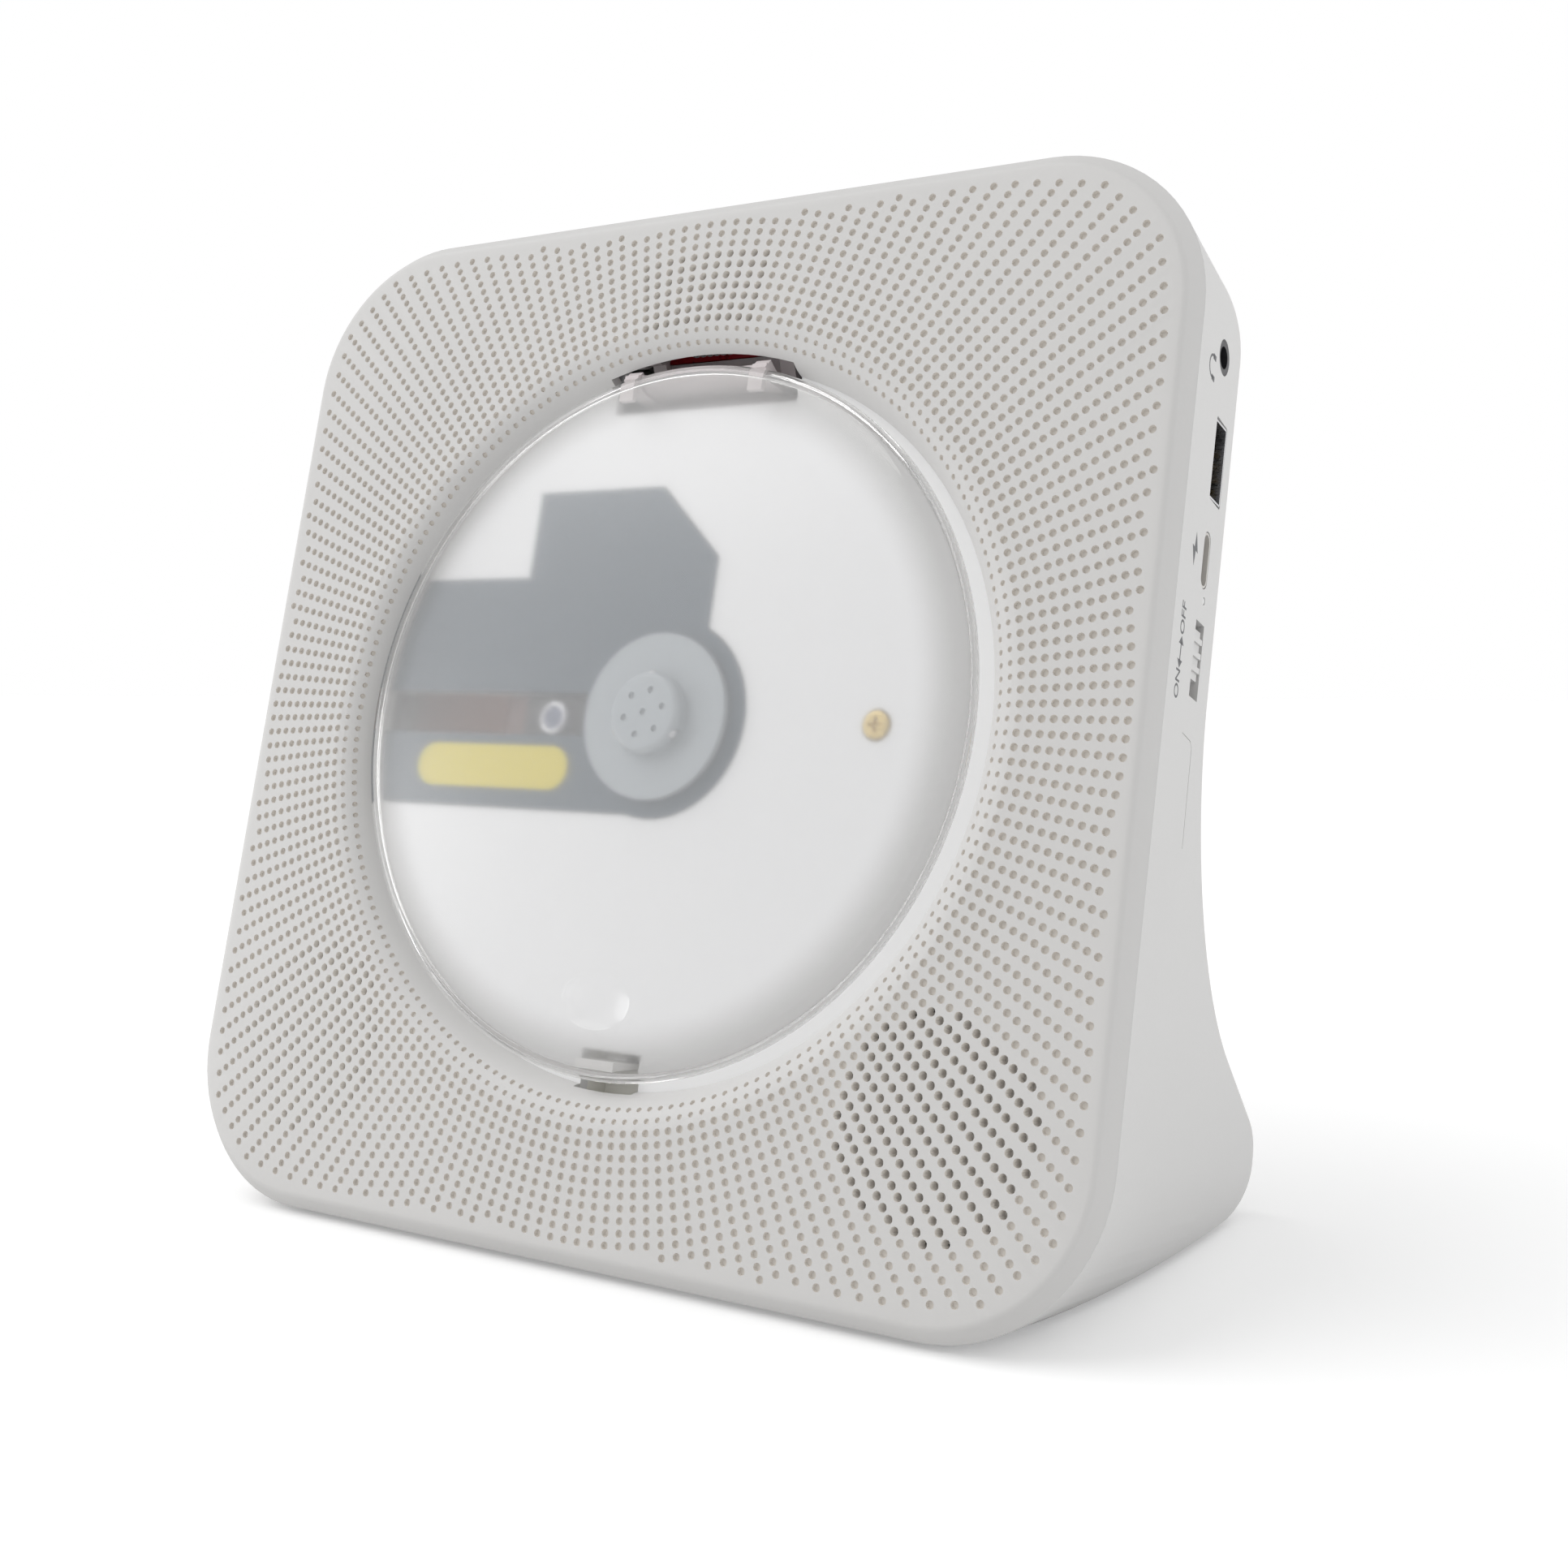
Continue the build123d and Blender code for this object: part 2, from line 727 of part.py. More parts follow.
with BuildPart() as disc_deck:
    with BuildSketch(at_depth(well_depth)):
        Circle(deck_radius)
        with Locations(*deck_ears):
            Circle(deck_ear_radius)
        for angle in deck_ear_angles:
            with PolarLocations(deck_ear_ring - deck_ear_radius, 1, start_angle=angle):
                Rectangle(2 * deck_ear_radius, 2 * deck_ear_radius)
        with Locations((0, hinge_floor_edge + roll_radius * 2)):
            Rectangle(2 * hinge_slot_half, roll_radius * 4, mode=Mode.SUBTRACT)
        with Locations((0, -(notch_inner + notch_outer) / 2)):
            Rectangle(2 * notch_half, notch_outer - notch_inner, mode=Mode.SUBTRACT)
        with Locations(window_place):
            Rectangle(window_length, window_width, mode=Mode.SUBTRACT)
        Circle(turntable_hole, mode=Mode.SUBTRACT)
        with Locations(floor_screw_place, *deck_ears):
            Circle(pilot, mode=Mode.SUBTRACT)
    extrude(amount=-deck_thickness)
    with BuildSketch(at_depth(well_depth)):
        Polygon(*cover_plate_corners(cover_plate_gap), align=None)
        Circle(cover_plate_hub_radius + cover_plate_gap)
    extrude(amount=cover_plate_proud - cover_plate_thickness, mode=Mode.SUBTRACT)
    with BuildSketch(at_depth(well_depth)):
        with Locations(floor_screw_place):
            Circle(floor_screw_recess)
    extrude(amount=-floor_screw_sink, mode=Mode.SUBTRACT)
    with BuildSketch(at_depth(deck_back)):
        with Locations(*damper_places):
            Circle(post_radius)
    extrude(amount=deck_back - chassis_depth + damper_height)
    with BuildSketch(at_depth(deck_back)):
        with Locations(*damper_places):
            Circle(pilot)
    extrude(amount=-chassis_depth, mode=Mode.SUBTRACT)
finish(disc_deck.part, "disc_deck")

with BuildPart() as mechanism_cover:
    with BuildSketch(at_depth(well_depth - cover_plate_proud)):
        Polygon(*cover_plate_corners(0), align=None)
        Circle(cover_plate_hub_radius)
        Circle(well_radius - cover_plate_gap, mode=Mode.INTERSECT)
        with Locations(window_place):
            Rectangle(window_length, window_width, mode=Mode.SUBTRACT)
        Circle(turntable_hole, mode=Mode.SUBTRACT)
    extrude(amount=-cover_plate_thickness)
finish(mechanism_cover.part, "mechanism_cover")

with BuildPart() as caution_pad:
    with BuildSketch(at_depth(well_depth - cover_plate_proud)):
        with Locations(pill_place):
            SlotOverall(pill_length, pill_width)
    extrude(amount=pill_thickness)
finish(caution_pad.part, "caution_pad")

# Lid with its rounded shoulder, finger dimple and seats for the hinge arms and the hook
lid_inner = lid_radius - lid_wall
with BuildPart() as lid:
    with BuildSketch(side_plane(0)) as lid_profile:
        with BuildLine():
            dome_middle = (0, lid_crown - lid_dome_radius)
            outer_span = degrees(asin(lid_radius / lid_dome_radius))
            inner_span = degrees(asin(lid_inner / (lid_dome_radius - lid_wall)))
            outer_dome = CenterArc(dome_middle, lid_dome_radius, 90, -outer_span)
            inner_dome = CenterArc(dome_middle, lid_dome_radius - lid_wall, 90, -inner_span)
            rim_foot = (lid_radius, -lid_edge_depth)
            Polyline(outer_dome @ 1, rim_foot, (lid_inner, -lid_edge_depth), inner_dome @ 1)
            Line(inner_dome @ 0, outer_dome @ 0)
        make_face()
        outer_corner = Vector(lid_radius, lid_height(lid_radius, 0))
        inner_corner = Vector(lid_inner, lid_height(lid_inner, lid_wall))
        fillet(lid_profile.vertices().sort_by_distance(outer_corner)[0], lid_shoulder)
        fillet(lid_profile.vertices().sort_by_distance(inner_corner)[0], lid_shoulder - lid_wall)
    revolve(axis=Axis(face.origin, face.z_dir))
    with BuildSketch(at_depth(arm_plate_top)):
        with Locations((0, (arm_plate_low + arm_bar_high) / 2)):
            Rectangle(2 * arm_place + arm_width, arm_bar_high - arm_plate_low)
    extrude(amount=arm_plate_top)
    with BuildSketch(at_depth(hook_pad_depth)):
        with Locations((0, -hook_place)):
            Rectangle(2 * hook_half + hook_pad_margin, hook_thickness + hook_pad_margin)
    extrude(amount=hook_pad_depth - lid_shoulder / 3)
    with BuildSketch(at_depth(arm_notch_depth)):
        with Locations((arm_place, lid_inner), (-arm_place, lid_inner)):
            Rectangle(arm_width + 2 * arm_notch_gap, 2 * (lid_inner - arm_bar_high - arm_notch_inset))
    extrude(amount=-lid_edge_depth, mode=Mode.SUBTRACT)
    with BuildSketch(at_depth(-lid_height(finger_place, finger_sink))):
        with Locations((0, finger_place)):
            Ellipse(finger_length / 2, finger_width / 2)
    extrude(amount=lid_crown, mode=Mode.SUBTRACT)
finish(lid.part, "lid")

hinge_point = (hinge_height, -hinge_depth)
with BuildPart() as lid_hinge_arms:
    with BuildSketch(at_depth(arm_plate_top)):
        with Locations((0, (arm_plate_low + arm_bar_high) / 2)):
            Rectangle(2 * arm_place + arm_width, arm_bar_high - arm_plate_low)
    extrude(amount=-arm_plate_thickness)
    for side in (-1, 1):
        with BuildSketch(side_plane(side * arm_place)):
            with BuildLine():
                outer_ring = CenterArc(hinge_point, arm_outer, arm_start, arm_end - arm_start)
                inner_ring = CenterArc(hinge_point, arm_inner, arm_start, arm_end - arm_start)
                Line(outer_ring @ 0, inner_ring @ 0)
                Line(outer_ring @ 1, inner_ring @ 1)
            make_face()
            with BuildLine():
                web_radius = (arm_inner + arm_outer) / 2
                web = CenterArc(hinge_point, web_radius, arm_web_start, arm_end - arm_web_start)
                Line(web @ 0, hinge_point)
                Line(web @ 1, hinge_point)
            make_face()
            with Locations(hinge_point):
                Circle(arm_eye)
            with Locations(((arm_plate_low + arm_neck_end) / 2, -arm_plate_top - arm_plate_thickness / 2)):
                Rectangle(arm_neck_end - arm_plate_low, arm_plate_thickness)
        extrude(amount=arm_width / 2, both=True)
    with BuildSketch(side_plane(0)):
        with Locations(hinge_point):
            Circle(hinge_pin_radius + hinge_run_gap)
    extrude(amount=hinge_slot_half, both=True, mode=Mode.SUBTRACT)
finish(lid_hinge_arms.part, "lid_hinge_arms")

with BuildPart() as hinge_pin:
    with BuildSketch(side_plane(0)):
        with Locations(hinge_point):
            Circle(hinge_pin_radius)
    extrude(amount=ear_place + ear_width / 2, both=True)
finish(hinge_pin.part, "hinge_pin")

spring_length = spring_pitch * spring_turns
spring_start = face.from_local_coords((-spring_length / 2, hinge_height, -hinge_depth))
with BuildPart() as lid_spring:
    with BuildLine() as coil:
        Helix(spring_pitch, spring_length, spring_radius, center=spring_start, direction=(1, 0, 0))
    with BuildSketch(Plane(coil.line @ 0, z_dir=coil.line % 0)):
        Circle(spring_wire / 2)
    sweep(path=coil.line)
finish(lid_spring.part, "lid_spring")

# Lid hook, and the clip in its bracket behind the notch
with BuildPart() as lid_hook:
    with BuildSketch(at_depth(hook_pad_depth)):
        with Locations((0, -hook_place)):
            Rectangle(2 * hook_half, hook_thickness)
    extrude(amount=hook_pad_depth - hook_reach)
    chamfer(lid_hook.edges().group_by(Axis(face.origin, face.z_dir))[0].filter_by(Axis.X), hook_thickness / 3)
finish(lid_hook.part, "lid_hook")

bracket_middle = -(notch_inner + notch_outer) / 2
with BuildPart() as latch_bracket:
    with BuildSketch(at_depth(deck_back)):
        with Locations((0, bracket_middle)):
            Rectangle(2 * (notch_half + bracket_wall), notch_outer - notch_inner + 2 * bracket_wall)
    extrude(amount=-bracket_depth)
    with BuildSketch(at_depth(deck_back)):
        with Locations((0, bracket_middle)):
            Rectangle(2 * notch_half, notch_outer - notch_inner)
    extrude(amount=bracket_wall - bracket_depth, mode=Mode.SUBTRACT)
finish(latch_bracket.part, "latch_bracket")

clip_inner = hook_thickness / 2 + clip_gap
clip_top = deck_back + clip_gap
clip_bottom = deck_back + bracket_depth - bracket_wall
with BuildPart() as latch_clip:
    with BuildSketch(at_depth(clip_top)):
        with Locations((0, -hook_place)):
            Rectangle(clip_length, 2 * (clip_inner + clip_leaf))
    extrude(amount=clip_top - clip_bottom)
    with BuildSketch(at_depth(clip_top)):
        with Locations((0, -hook_place)):
            Rectangle(clip_length, 2 * clip_inner)
    extrude(amount=clip_top - clip_bottom + clip_leaf, mode=Mode.SUBTRACT)
finish(latch_clip.part, "latch_clip")

# Turntable, hub and spindle
with BuildPart() as turntable:
    with BuildSketch(at_depth(turntable_depth)):
        Circle(turntable_radius)
    extrude(amount=-turntable_thickness)
    with BuildSketch(at_depth(turntable_depth)):
        Circle(turntable_boss)
    extrude(amount=-turntable_thickness - turntable_boss_length)
    with BuildSketch(at_depth(turntable_depth)):
        Circle(spindle_radius + thread_gap)
    extrude(amount=-chassis_depth, mode=Mode.SUBTRACT)
finish(turntable.part, "turntable")

ball_places = [polar(hub_radius - hub_ball_radius * 0.6, angle) for angle in hub_ball_angles]
hub_height = turntable_depth - hub_top_depth
with BuildPart() as turntable_hub:
    with BuildSketch(at_depth(turntable_depth)):
        Circle(hub_radius)
    extrude(amount=hub_height)
    fillet(turntable_hub.edges().group_by(Axis(face.origin, face.z_dir))[-1], hub_height / 2.5)
    with BuildSketch(at_depth(turntable_depth)):
        Circle(spindle_radius + thread_gap)
    extrude(amount=hub_height - hub_cap, mode=Mode.SUBTRACT)
    with Locations(at_depth(turntable_depth - hub_height / 2)):
        with Locations(*ball_places):
            Sphere(hub_ball_radius + thread_gap, mode=Mode.SUBTRACT)
finish(turntable_hub.part, "turntable_hub")

with BuildPart() as hub_balls:
    with Locations(at_depth(turntable_depth - hub_height / 2)):
        with Locations(*ball_places):
            Sphere(hub_ball_radius)
finish(hub_balls.part, "hub_balls")

motor_front = chassis_depth + chassis_thickness
motor_back = motor_front + motor_length
with BuildPart() as spindle_shaft:
    with BuildSketch(at_depth(hub_top_depth + hub_cap)):
        Circle(spindle_radius)
    extrude(amount=hub_top_depth + hub_cap - motor_back + motor_floor)
finish(spindle_shaft.part, "spindle_shaft")

pinion_distance = (large_gear_teeth + pinion_teeth) * train_module / 2
drive_gear_y = rack_line + small_gear_teeth * rack_module / 2
train_step = polar(pinion_distance, train_angle)
drive_gear_place = (drive_gear_x, drive_gear_y)
pinion_place = (drive_gear_x + train_step[0], drive_gear_y + train_step[1])


def motor(place, radius):
    """A can motor hung below the chassis, with a bore for its shaft and a shallow end bell."""
    with BuildPart() as can:
        with BuildSketch(at_depth(motor_front)):
            with Locations(place):
                Circle(radius)
        extrude(amount=-motor_length)
        fillet(can.edges().group_by(Axis(face.origin, face.z_dir))[0], motor_edge_round)
        with BuildSketch(at_depth(motor_front)):
            with Locations(place):
                Circle(motor_bore)
        extrude(amount=motor_floor / 2 - motor_length, mode=Mode.SUBTRACT)
    return can.part


finish(motor((0, 0), spindle_motor_radius), "spindle_motor")
finish(motor(pinion_place, sled_motor_radius), "sled_motor")

# Chassis with the rods' blocks and the gear post, hung on soft dampers
chassis_left = rod_end_outer - 2
chassis_right = 16
chassis_low = -21
chassis_high = 36
block_height = chassis_depth - rod_depth + rod_radius + 1
rod_middle_outer = rod_end_outer + rod_block / 2
rod_middle_inner = rod_end_inner + rod_block / 2
with BuildPart() as mechanism_chassis:
    with BuildSketch(at_depth(chassis_depth)):
        with Locations(((chassis_left + chassis_right) / 2, (chassis_low + chassis_high) / 2)):
            RectangleRounded(chassis_right - chassis_left, chassis_high - chassis_low, 4)
        with Locations(((optics_left + optics_right) / 2 - sled_travel / 2, window_place[1])):
            Rectangle(
                optics_right - optics_left + sled_travel + 2 * optics_gap,
                optics_width + 2 * optics_gap,
                mode=Mode.SUBTRACT,
            )
        with Locations((0, 0), pinion_place):
            Circle(chassis_shaft_hole, mode=Mode.SUBTRACT)
        with Locations(*damper_places):
            Circle(pilot, mode=Mode.SUBTRACT)
    extrude(amount=-chassis_thickness)
    with BuildSketch(at_depth(chassis_depth)):
        for x in (rod_middle_outer, rod_middle_inner):
            with Locations((x, rod_low), (x, rod_high)):
                Rectangle(rod_block, 2 * rod_block)
    extrude(amount=block_height)
    with BuildSketch(at_depth(chassis_depth)):
        with Locations(drive_gear_place):
            Circle(gear_post_radius + gear_washer)
    extrude(amount=train_clearance)
    with BuildSketch(at_depth(chassis_depth)):
        with Locations(drive_gear_place):
            Circle(gear_post_radius)
    extrude(amount=chassis_depth - gear_top + train_clearance)
    with BuildSketch(side_plane(rod_end_outer)):
        with Locations((rod_low, -rod_depth), (rod_high, -rod_depth)):
            Circle(rod_radius + thread_gap)
    extrude(amount=rod_end_inner - rod_end_outer + rod_block, mode=Mode.SUBTRACT)
finish(mechanism_chassis.part, "mechanism_chassis")

with BuildPart() as guide_rods:
    with BuildSketch(side_plane(rod_end_outer)):
        with Locations((rod_low, -rod_depth), (rod_high, -rod_depth)):
            Circle(rod_radius)
    extrude(amount=rod_end_inner - rod_end_outer + rod_block)
finish(guide_rods.part, "guide_rods")

with BuildPart() as chassis_dampers:
    with BuildSketch(at_depth(chassis_depth)):
        with Locations(*damper_places):
            Circle(damper_radius)
        with Locations(*damper_places):
            Circle(pilot, mode=Mode.SUBTRACT)
    extrude(amount=damper_height)
finish(chassis_dampers.part, "chassis_dampers")

# Pickup sled with its bearings, riser, optics block and rack
sled_left = lens_place - sled_length / 2
rack_left = drive_gear_x - rack_margin
rack_right = drive_gear_x + sled_travel + rack_margin
rack_pitch = pi * rack_module
rack_root = rack_line - 1.1 * rack_module
rack_tip = rack_line + 0.8 * rack_module
with BuildPart() as pickup_sled:
    with BuildSketch(at_depth(sled_top)):
        with Locations((lens_place, (sled_low + sled_high) / 2)):
            Rectangle(sled_length, sled_high - sled_low)
    extrude(amount=sled_top - sled_bottom)
    with BuildSketch(at_depth(sled_bottom)):
        with Locations(((optics_left + optics_right) / 2, window_place[1])):
            Rectangle(optics_right - optics_left, optics_width)
    extrude(amount=-optics_height)
    with BuildSketch(at_depth(riser_top)):
        with Locations(((riser_left + riser_right) / 2, window_place[1])):
            Rectangle(riser_right - riser_left, window_width - 2 * riser_gap)
    extrude(amount=riser_top - sled_top)
    with BuildSketch(at_depth(gear_top)):
        with Locations(((rack_left + rack_right) / 2, (rack_root + rack_back) / 2)):
            Rectangle(rack_right - rack_left, rack_root - rack_back)
        with Locations((lens_place, (sled_high + rack_back) / 2)):
            Rectangle(sled_length, rack_back - sled_high)
        rack_teeth = int((rack_right - rack_left) / rack_pitch / 2)
        for step in range(-rack_teeth, rack_teeth + 1):
            middle = drive_gear_x + (step + 0.5) * rack_pitch
            if rack_left + rack_pitch / 2 < middle < rack_right - rack_pitch / 2:
                wide = rack_pitch * gear_tooth_share * 0.65
                narrow = rack_pitch * gear_tooth_share * 0.35
                with BuildLine():
                    Polyline(
                        (middle - wide, rack_root - 0.1),
                        (middle - narrow, rack_tip),
                        (middle + narrow, rack_tip),
                        (middle + wide, rack_root - 0.1),
                        close=True,
                    )
                make_face()
    extrude(amount=gear_top - small_gear_bottom)
    with BuildSketch(side_plane(sled_left)):
        with Locations((rod_low, -rod_depth), (rod_high, -rod_depth)):
            Circle(rod_radius + rod_run_gap)
    extrude(amount=sled_length, mode=Mode.SUBTRACT)
finish(pickup_sled.part, "pickup_sled")

with BuildPart() as pickup_lens:
    with BuildSketch(at_depth(riser_top)):
        with Locations((lens_place, lens_height)):
            Circle(lens_radius)
    extrude(amount=lens_rise)
    fillet(pickup_lens.edges().group_by(Axis(face.origin, face.z_dir))[-1], lens_rise * 0.8)
finish(pickup_lens.part, "pickup_lens")

# Gear train: the rack's gear and the large gear are one wheel, driven by the motor's pinion
with BuildPart() as drive_gear:
    with BuildSketch(at_depth(gear_top)):
        with Locations(drive_gear_place):
            Polygon(*gear_outline(small_gear_teeth, rack_module, -90), align=None)
            Circle(gear_post_radius + gear_run_gap, mode=Mode.SUBTRACT)
    extrude(amount=gear_top - large_gear_top)
    with BuildSketch(at_depth(large_gear_top)):
        with Locations(drive_gear_place):
            Polygon(*gear_outline(large_gear_teeth, train_module, train_angle), align=None)
            Circle(gear_post_radius + gear_run_gap, mode=Mode.SUBTRACT)
    extrude(amount=large_gear_top - large_gear_bottom)
finish(drive_gear.part, "drive_gear")

with BuildPart() as motor_pinion:
    with BuildSketch(at_depth(large_gear_top)):
        with Locations(pinion_place):
            pinion_phase = train_angle + 180 + 180 / pinion_teeth
            Polygon(*gear_outline(pinion_teeth, train_module, pinion_phase), align=None)
    extrude(amount=large_gear_top - large_gear_bottom)
    with BuildSketch(at_depth(large_gear_bottom)):
        with Locations(pinion_place):
            Circle(spindle_radius)
    extrude(amount=large_gear_bottom - motor_back + motor_floor)
finish(motor_pinion.part, "motor_pinion")

# Screws of the deck, the chassis, the case, the speakers and the boards
floor_screw_seat = at_depth(floor_screw_sink + well_depth)
finish(screw(floor_screw_seat, floor_screw_place, case_screw_seat - well_depth), "deck_screw")
rear_view = -face.z_dir


def rear_screws(depth, places, length):
    """Screws driven from behind, with their heads seated at a depth."""
    seat = Plane(origin=at_depth(depth).origin, x_dir=(-1, 0, 0), z_dir=rear_view)
    return Compound(children=[screw(seat, (-x, y), length) for x, y in places])


finish(rear_screws(deck_back, deck_ears, deck_screw_length), "deck_screws")
finish(rear_screws(motor_front, damper_places, chassis_screw_length), "chassis_screws")
finish(rear_screws(case_screw_seat, case_screw_places, case_screw_length), "cover_screws")
finish(rear_screws(speaker_seat, speaker_screw_places, speaker_screw_length), "speaker_screws")

# Speakers: frame, cone and magnet on each side
frame_outline = (
    (speaker_radius, cover_back),
    (speaker_radius, speaker_seat),
    (speaker_radius - 1.4, speaker_seat),
    (speaker_magnet_radius + 0.8, cover_back + speaker_basket_depth),
    (speaker_throat, cover_back + speaker_basket_depth),
    (speaker_throat, cover_back + speaker_basket_depth - 1),
    (speaker_magnet_radius, cover_back + speaker_basket_depth - 1),
    (speaker_radius - speaker_rim, speaker_seat),
    (speaker_radius - speaker_rim, cover_back),
)
cone_edge = speaker_radius - speaker_rim - 0.1
cone_outline = (
    (0, cover_back + speaker_cone_depth - 2.2),
    (speaker_throat * 0.6, cover_back + speaker_cone_depth - 1.4),
    (speaker_throat, cover_back + speaker_cone_depth - 1),
    (cone_edge, cover_back + 0.5),
    (cone_edge, cover_back + 1.1),
    (speaker_throat, cover_back + speaker_cone_depth - 0.4),
    (speaker_throat * 0.6, cover_back + speaker_cone_depth - 0.8),
    (0, cover_back + speaker_cone_depth - 1.6),
)


def turned_about(place, outline):
    """A ring turned from an outline of radius and depth about an axis square to the face."""
    x, y = place
    with BuildPart() as turned:
        with BuildSketch(side_plane(x)):
            with BuildLine():
                Polyline([(y + radius, -depth) for radius, depth in outline], close=True)
            make_face()
        revolve(axis=Axis(face.from_local_coords((x, y, 0)), face.z_dir))
    return turned.part


for side, place in zip(("left", "right"), speaker_places):
    finish(turned_about(place, frame_outline), f"{side}_speaker_frame")
    finish(turned_about(place, cone_outline), f"{side}_speaker_cone")
    with BuildPart() as speaker_magnet:
        with BuildSketch(at_depth(cover_back + speaker_basket_depth)):
            with Locations(place):
                Circle(speaker_magnet_radius)
        extrude(amount=-speaker_magnet_depth)
        chamfer(speaker_magnet.edges().group_by(Axis(face.origin, face.z_dir))[0], 0.6)
    finish(speaker_magnet.part, f"{side}_speaker_magnet")

# Display behind the top perforations
with BuildPart() as display_board:
    with BuildSketch(at_depth(display_board_depth)):
        with Locations((0, display_middle)):
            Rectangle(2 * (display_post_x + display_board_margin), display_height)
        with Locations(*display_post_places):
            Circle(pilot, mode=Mode.SUBTRACT)
    extrude(amount=-board_thickness)
finish(display_board.part, "display_board")

with BuildPart() as display_module:
    with BuildSketch(at_depth(display_board_depth)):
        with Locations((0, display_middle)):
            Rectangle(display_length, display_height - 1)
    extrude(amount=display_board_depth - cover_back - display_gap)
finish(display_module.part, "display_module")

# Board, sockets, lamp and power switch at the right side
socket_base = side_board_x + board_thickness
with BuildPart() as side_board:
    with BuildSketch(side_plane(side_board_x)):
        with Locations(((side_board_low + side_board_high) / 2, -side_board_middle)):
            Rectangle(side_board_high - side_board_low, side_board_back - side_board_front)
        with Locations(*side_posts):
            Circle(pilot, mode=Mode.SUBTRACT)
    extrude(amount=board_thickness)
finish(side_board.part, "side_board")


def behind_wall(depth):
    """Distance from the side board to just inside the side wall, at a depth."""
    return side_wall_x(depth) - wall - socket_gap - socket_base


def to_wall_face(depth):
    """Distance from the side board to just under the outside of the side wall, at a depth."""
    return side_wall_x(depth) - socket_sink - socket_base


with BuildPart() as headphone_jack:
    with BuildSketch(side_plane(socket_base)):
        with Locations((jack_place[0], -jack_place[1])):
            RectangleRounded(jack_body, jack_body, 0.6)
    extrude(amount=behind_wall(jack_place[1]))
    with BuildSketch(side_plane(socket_base)):
        with Locations((jack_place[0], -jack_place[1])):
            Circle(jack_barrel)
    extrude(amount=to_wall_face(jack_place[1]))
    with BuildSketch(side_plane(socket_base + to_wall_face(jack_place[1]))):
        with Locations((jack_place[0], -jack_place[1])):
            Circle(jack_bore)
    extrude(amount=-jack_bore_length, mode=Mode.SUBTRACT)
finish(headphone_jack.part, "headphone_jack")

with BuildPart() as usb_socket:
    with BuildSketch(side_plane(socket_base)):
        with Locations((usb_place[0], -usb_place[1])):
            RectangleRounded(usb_width, usb_height, 0.5)
    extrude(amount=to_wall_face(usb_place[1]))
    with BuildSketch(side_plane(socket_base + socket_floor)):
        with Locations((usb_place[0], -usb_place[1])):
            Rectangle(usb_width - 2 * usb_metal, usb_height - 2 * usb_metal)
    extrude(amount=to_wall_face(usb_place[1]), mode=Mode.SUBTRACT)
finish(usb_socket.part, "usb_socket")

with BuildPart() as usb_tongue:
    with BuildSketch(side_plane(socket_base + socket_floor)):
        with Locations((usb_place[0], -usb_place[1] + usb_tongue_shift)):
            Rectangle(usb_tongue_width, usb_tongue_height)
    extrude(amount=to_wall_face(usb_place[1]) - socket_floor - tongue_sink)
finish(usb_tongue.part, "usb_tongue")

with BuildPart() as charging_socket:
    with BuildSketch(side_plane(socket_base)):
        with Locations((charge_place[0], -charge_place[1])):
            SlotOverall(charge_width, charge_height)
    extrude(amount=to_wall_face(charge_place[1]))
    with BuildSketch(side_plane(socket_base + socket_floor)):
        with Locations((charge_place[0], -charge_place[1])):
            SlotOverall(charge_width - 2 * charge_metal, charge_height - 2 * charge_metal)
            Rectangle(charge_tongue_width, charge_tongue_height, mode=Mode.SUBTRACT)
    extrude(amount=to_wall_face(charge_place[1]), mode=Mode.SUBTRACT)
    with BuildSketch(side_plane(socket_base + to_wall_face(charge_place[1]))):
        with Locations((charge_place[0], -charge_place[1])):
            Rectangle(charge_tongue_width, charge_tongue_height)
    extrude(amount=-tongue_sink, mode=Mode.SUBTRACT)
finish(charging_socket.part, "charging_socket")

with BuildPart() as power_lamp:
    with BuildSketch(side_plane(socket_base)):
        with Locations((lamp_place[0], -lamp_place[1])):
            Rectangle(lamp_base, lamp_base)
    extrude(amount=lamp_base)
    with BuildSketch(side_plane(socket_base)):
        with Locations((lamp_place[0], -lamp_place[1])):
            Circle(lamp_radius)
    extrude(amount=to_wall_face(lamp_place[1]))
finish(power_lamp.part, "power_lamp")

knob_middle = (switch_place[0], -switch_place[1])
travel_middle = (switch_place[0] - switch_travel / 2, -switch_place[1])
plate_inner = behind_wall(switch_place[1] + knob_plate_width / 2) + socket_base - knob_plate_thickness
knob_face = socket_base + to_wall_face(switch_place[1]) - knob_ridge_height
stem_inner = plate_inner - knob_stem_length
with BuildPart() as power_switch_knob:
    with BuildSketch(side_plane(plate_inner)):
        with Locations(knob_middle):
            Rectangle(knob_plate_length, knob_plate_width)
    extrude(amount=knob_plate_thickness)
    with BuildSketch(side_plane(plate_inner)):
        with Locations(knob_middle):
            Rectangle(knob_length, switch_slot_width - 2 * port_gap)
    extrude(amount=knob_face - plate_inner)
    with BuildSketch(side_plane(knob_face)):
        with Locations(knob_middle):
            with GridLocations(knob_ridge_pitch, 1, knob_ridges, 1):
                Rectangle(knob_ridge_width, switch_slot_width - 2 * port_gap)
    extrude(amount=knob_ridge_height)
    with BuildSketch(side_plane(plate_inner)):
        with Locations(knob_middle):
            Rectangle(knob_stem, knob_stem)
    extrude(amount=-knob_stem_length)
finish(power_switch_knob.part, "power_switch_knob")

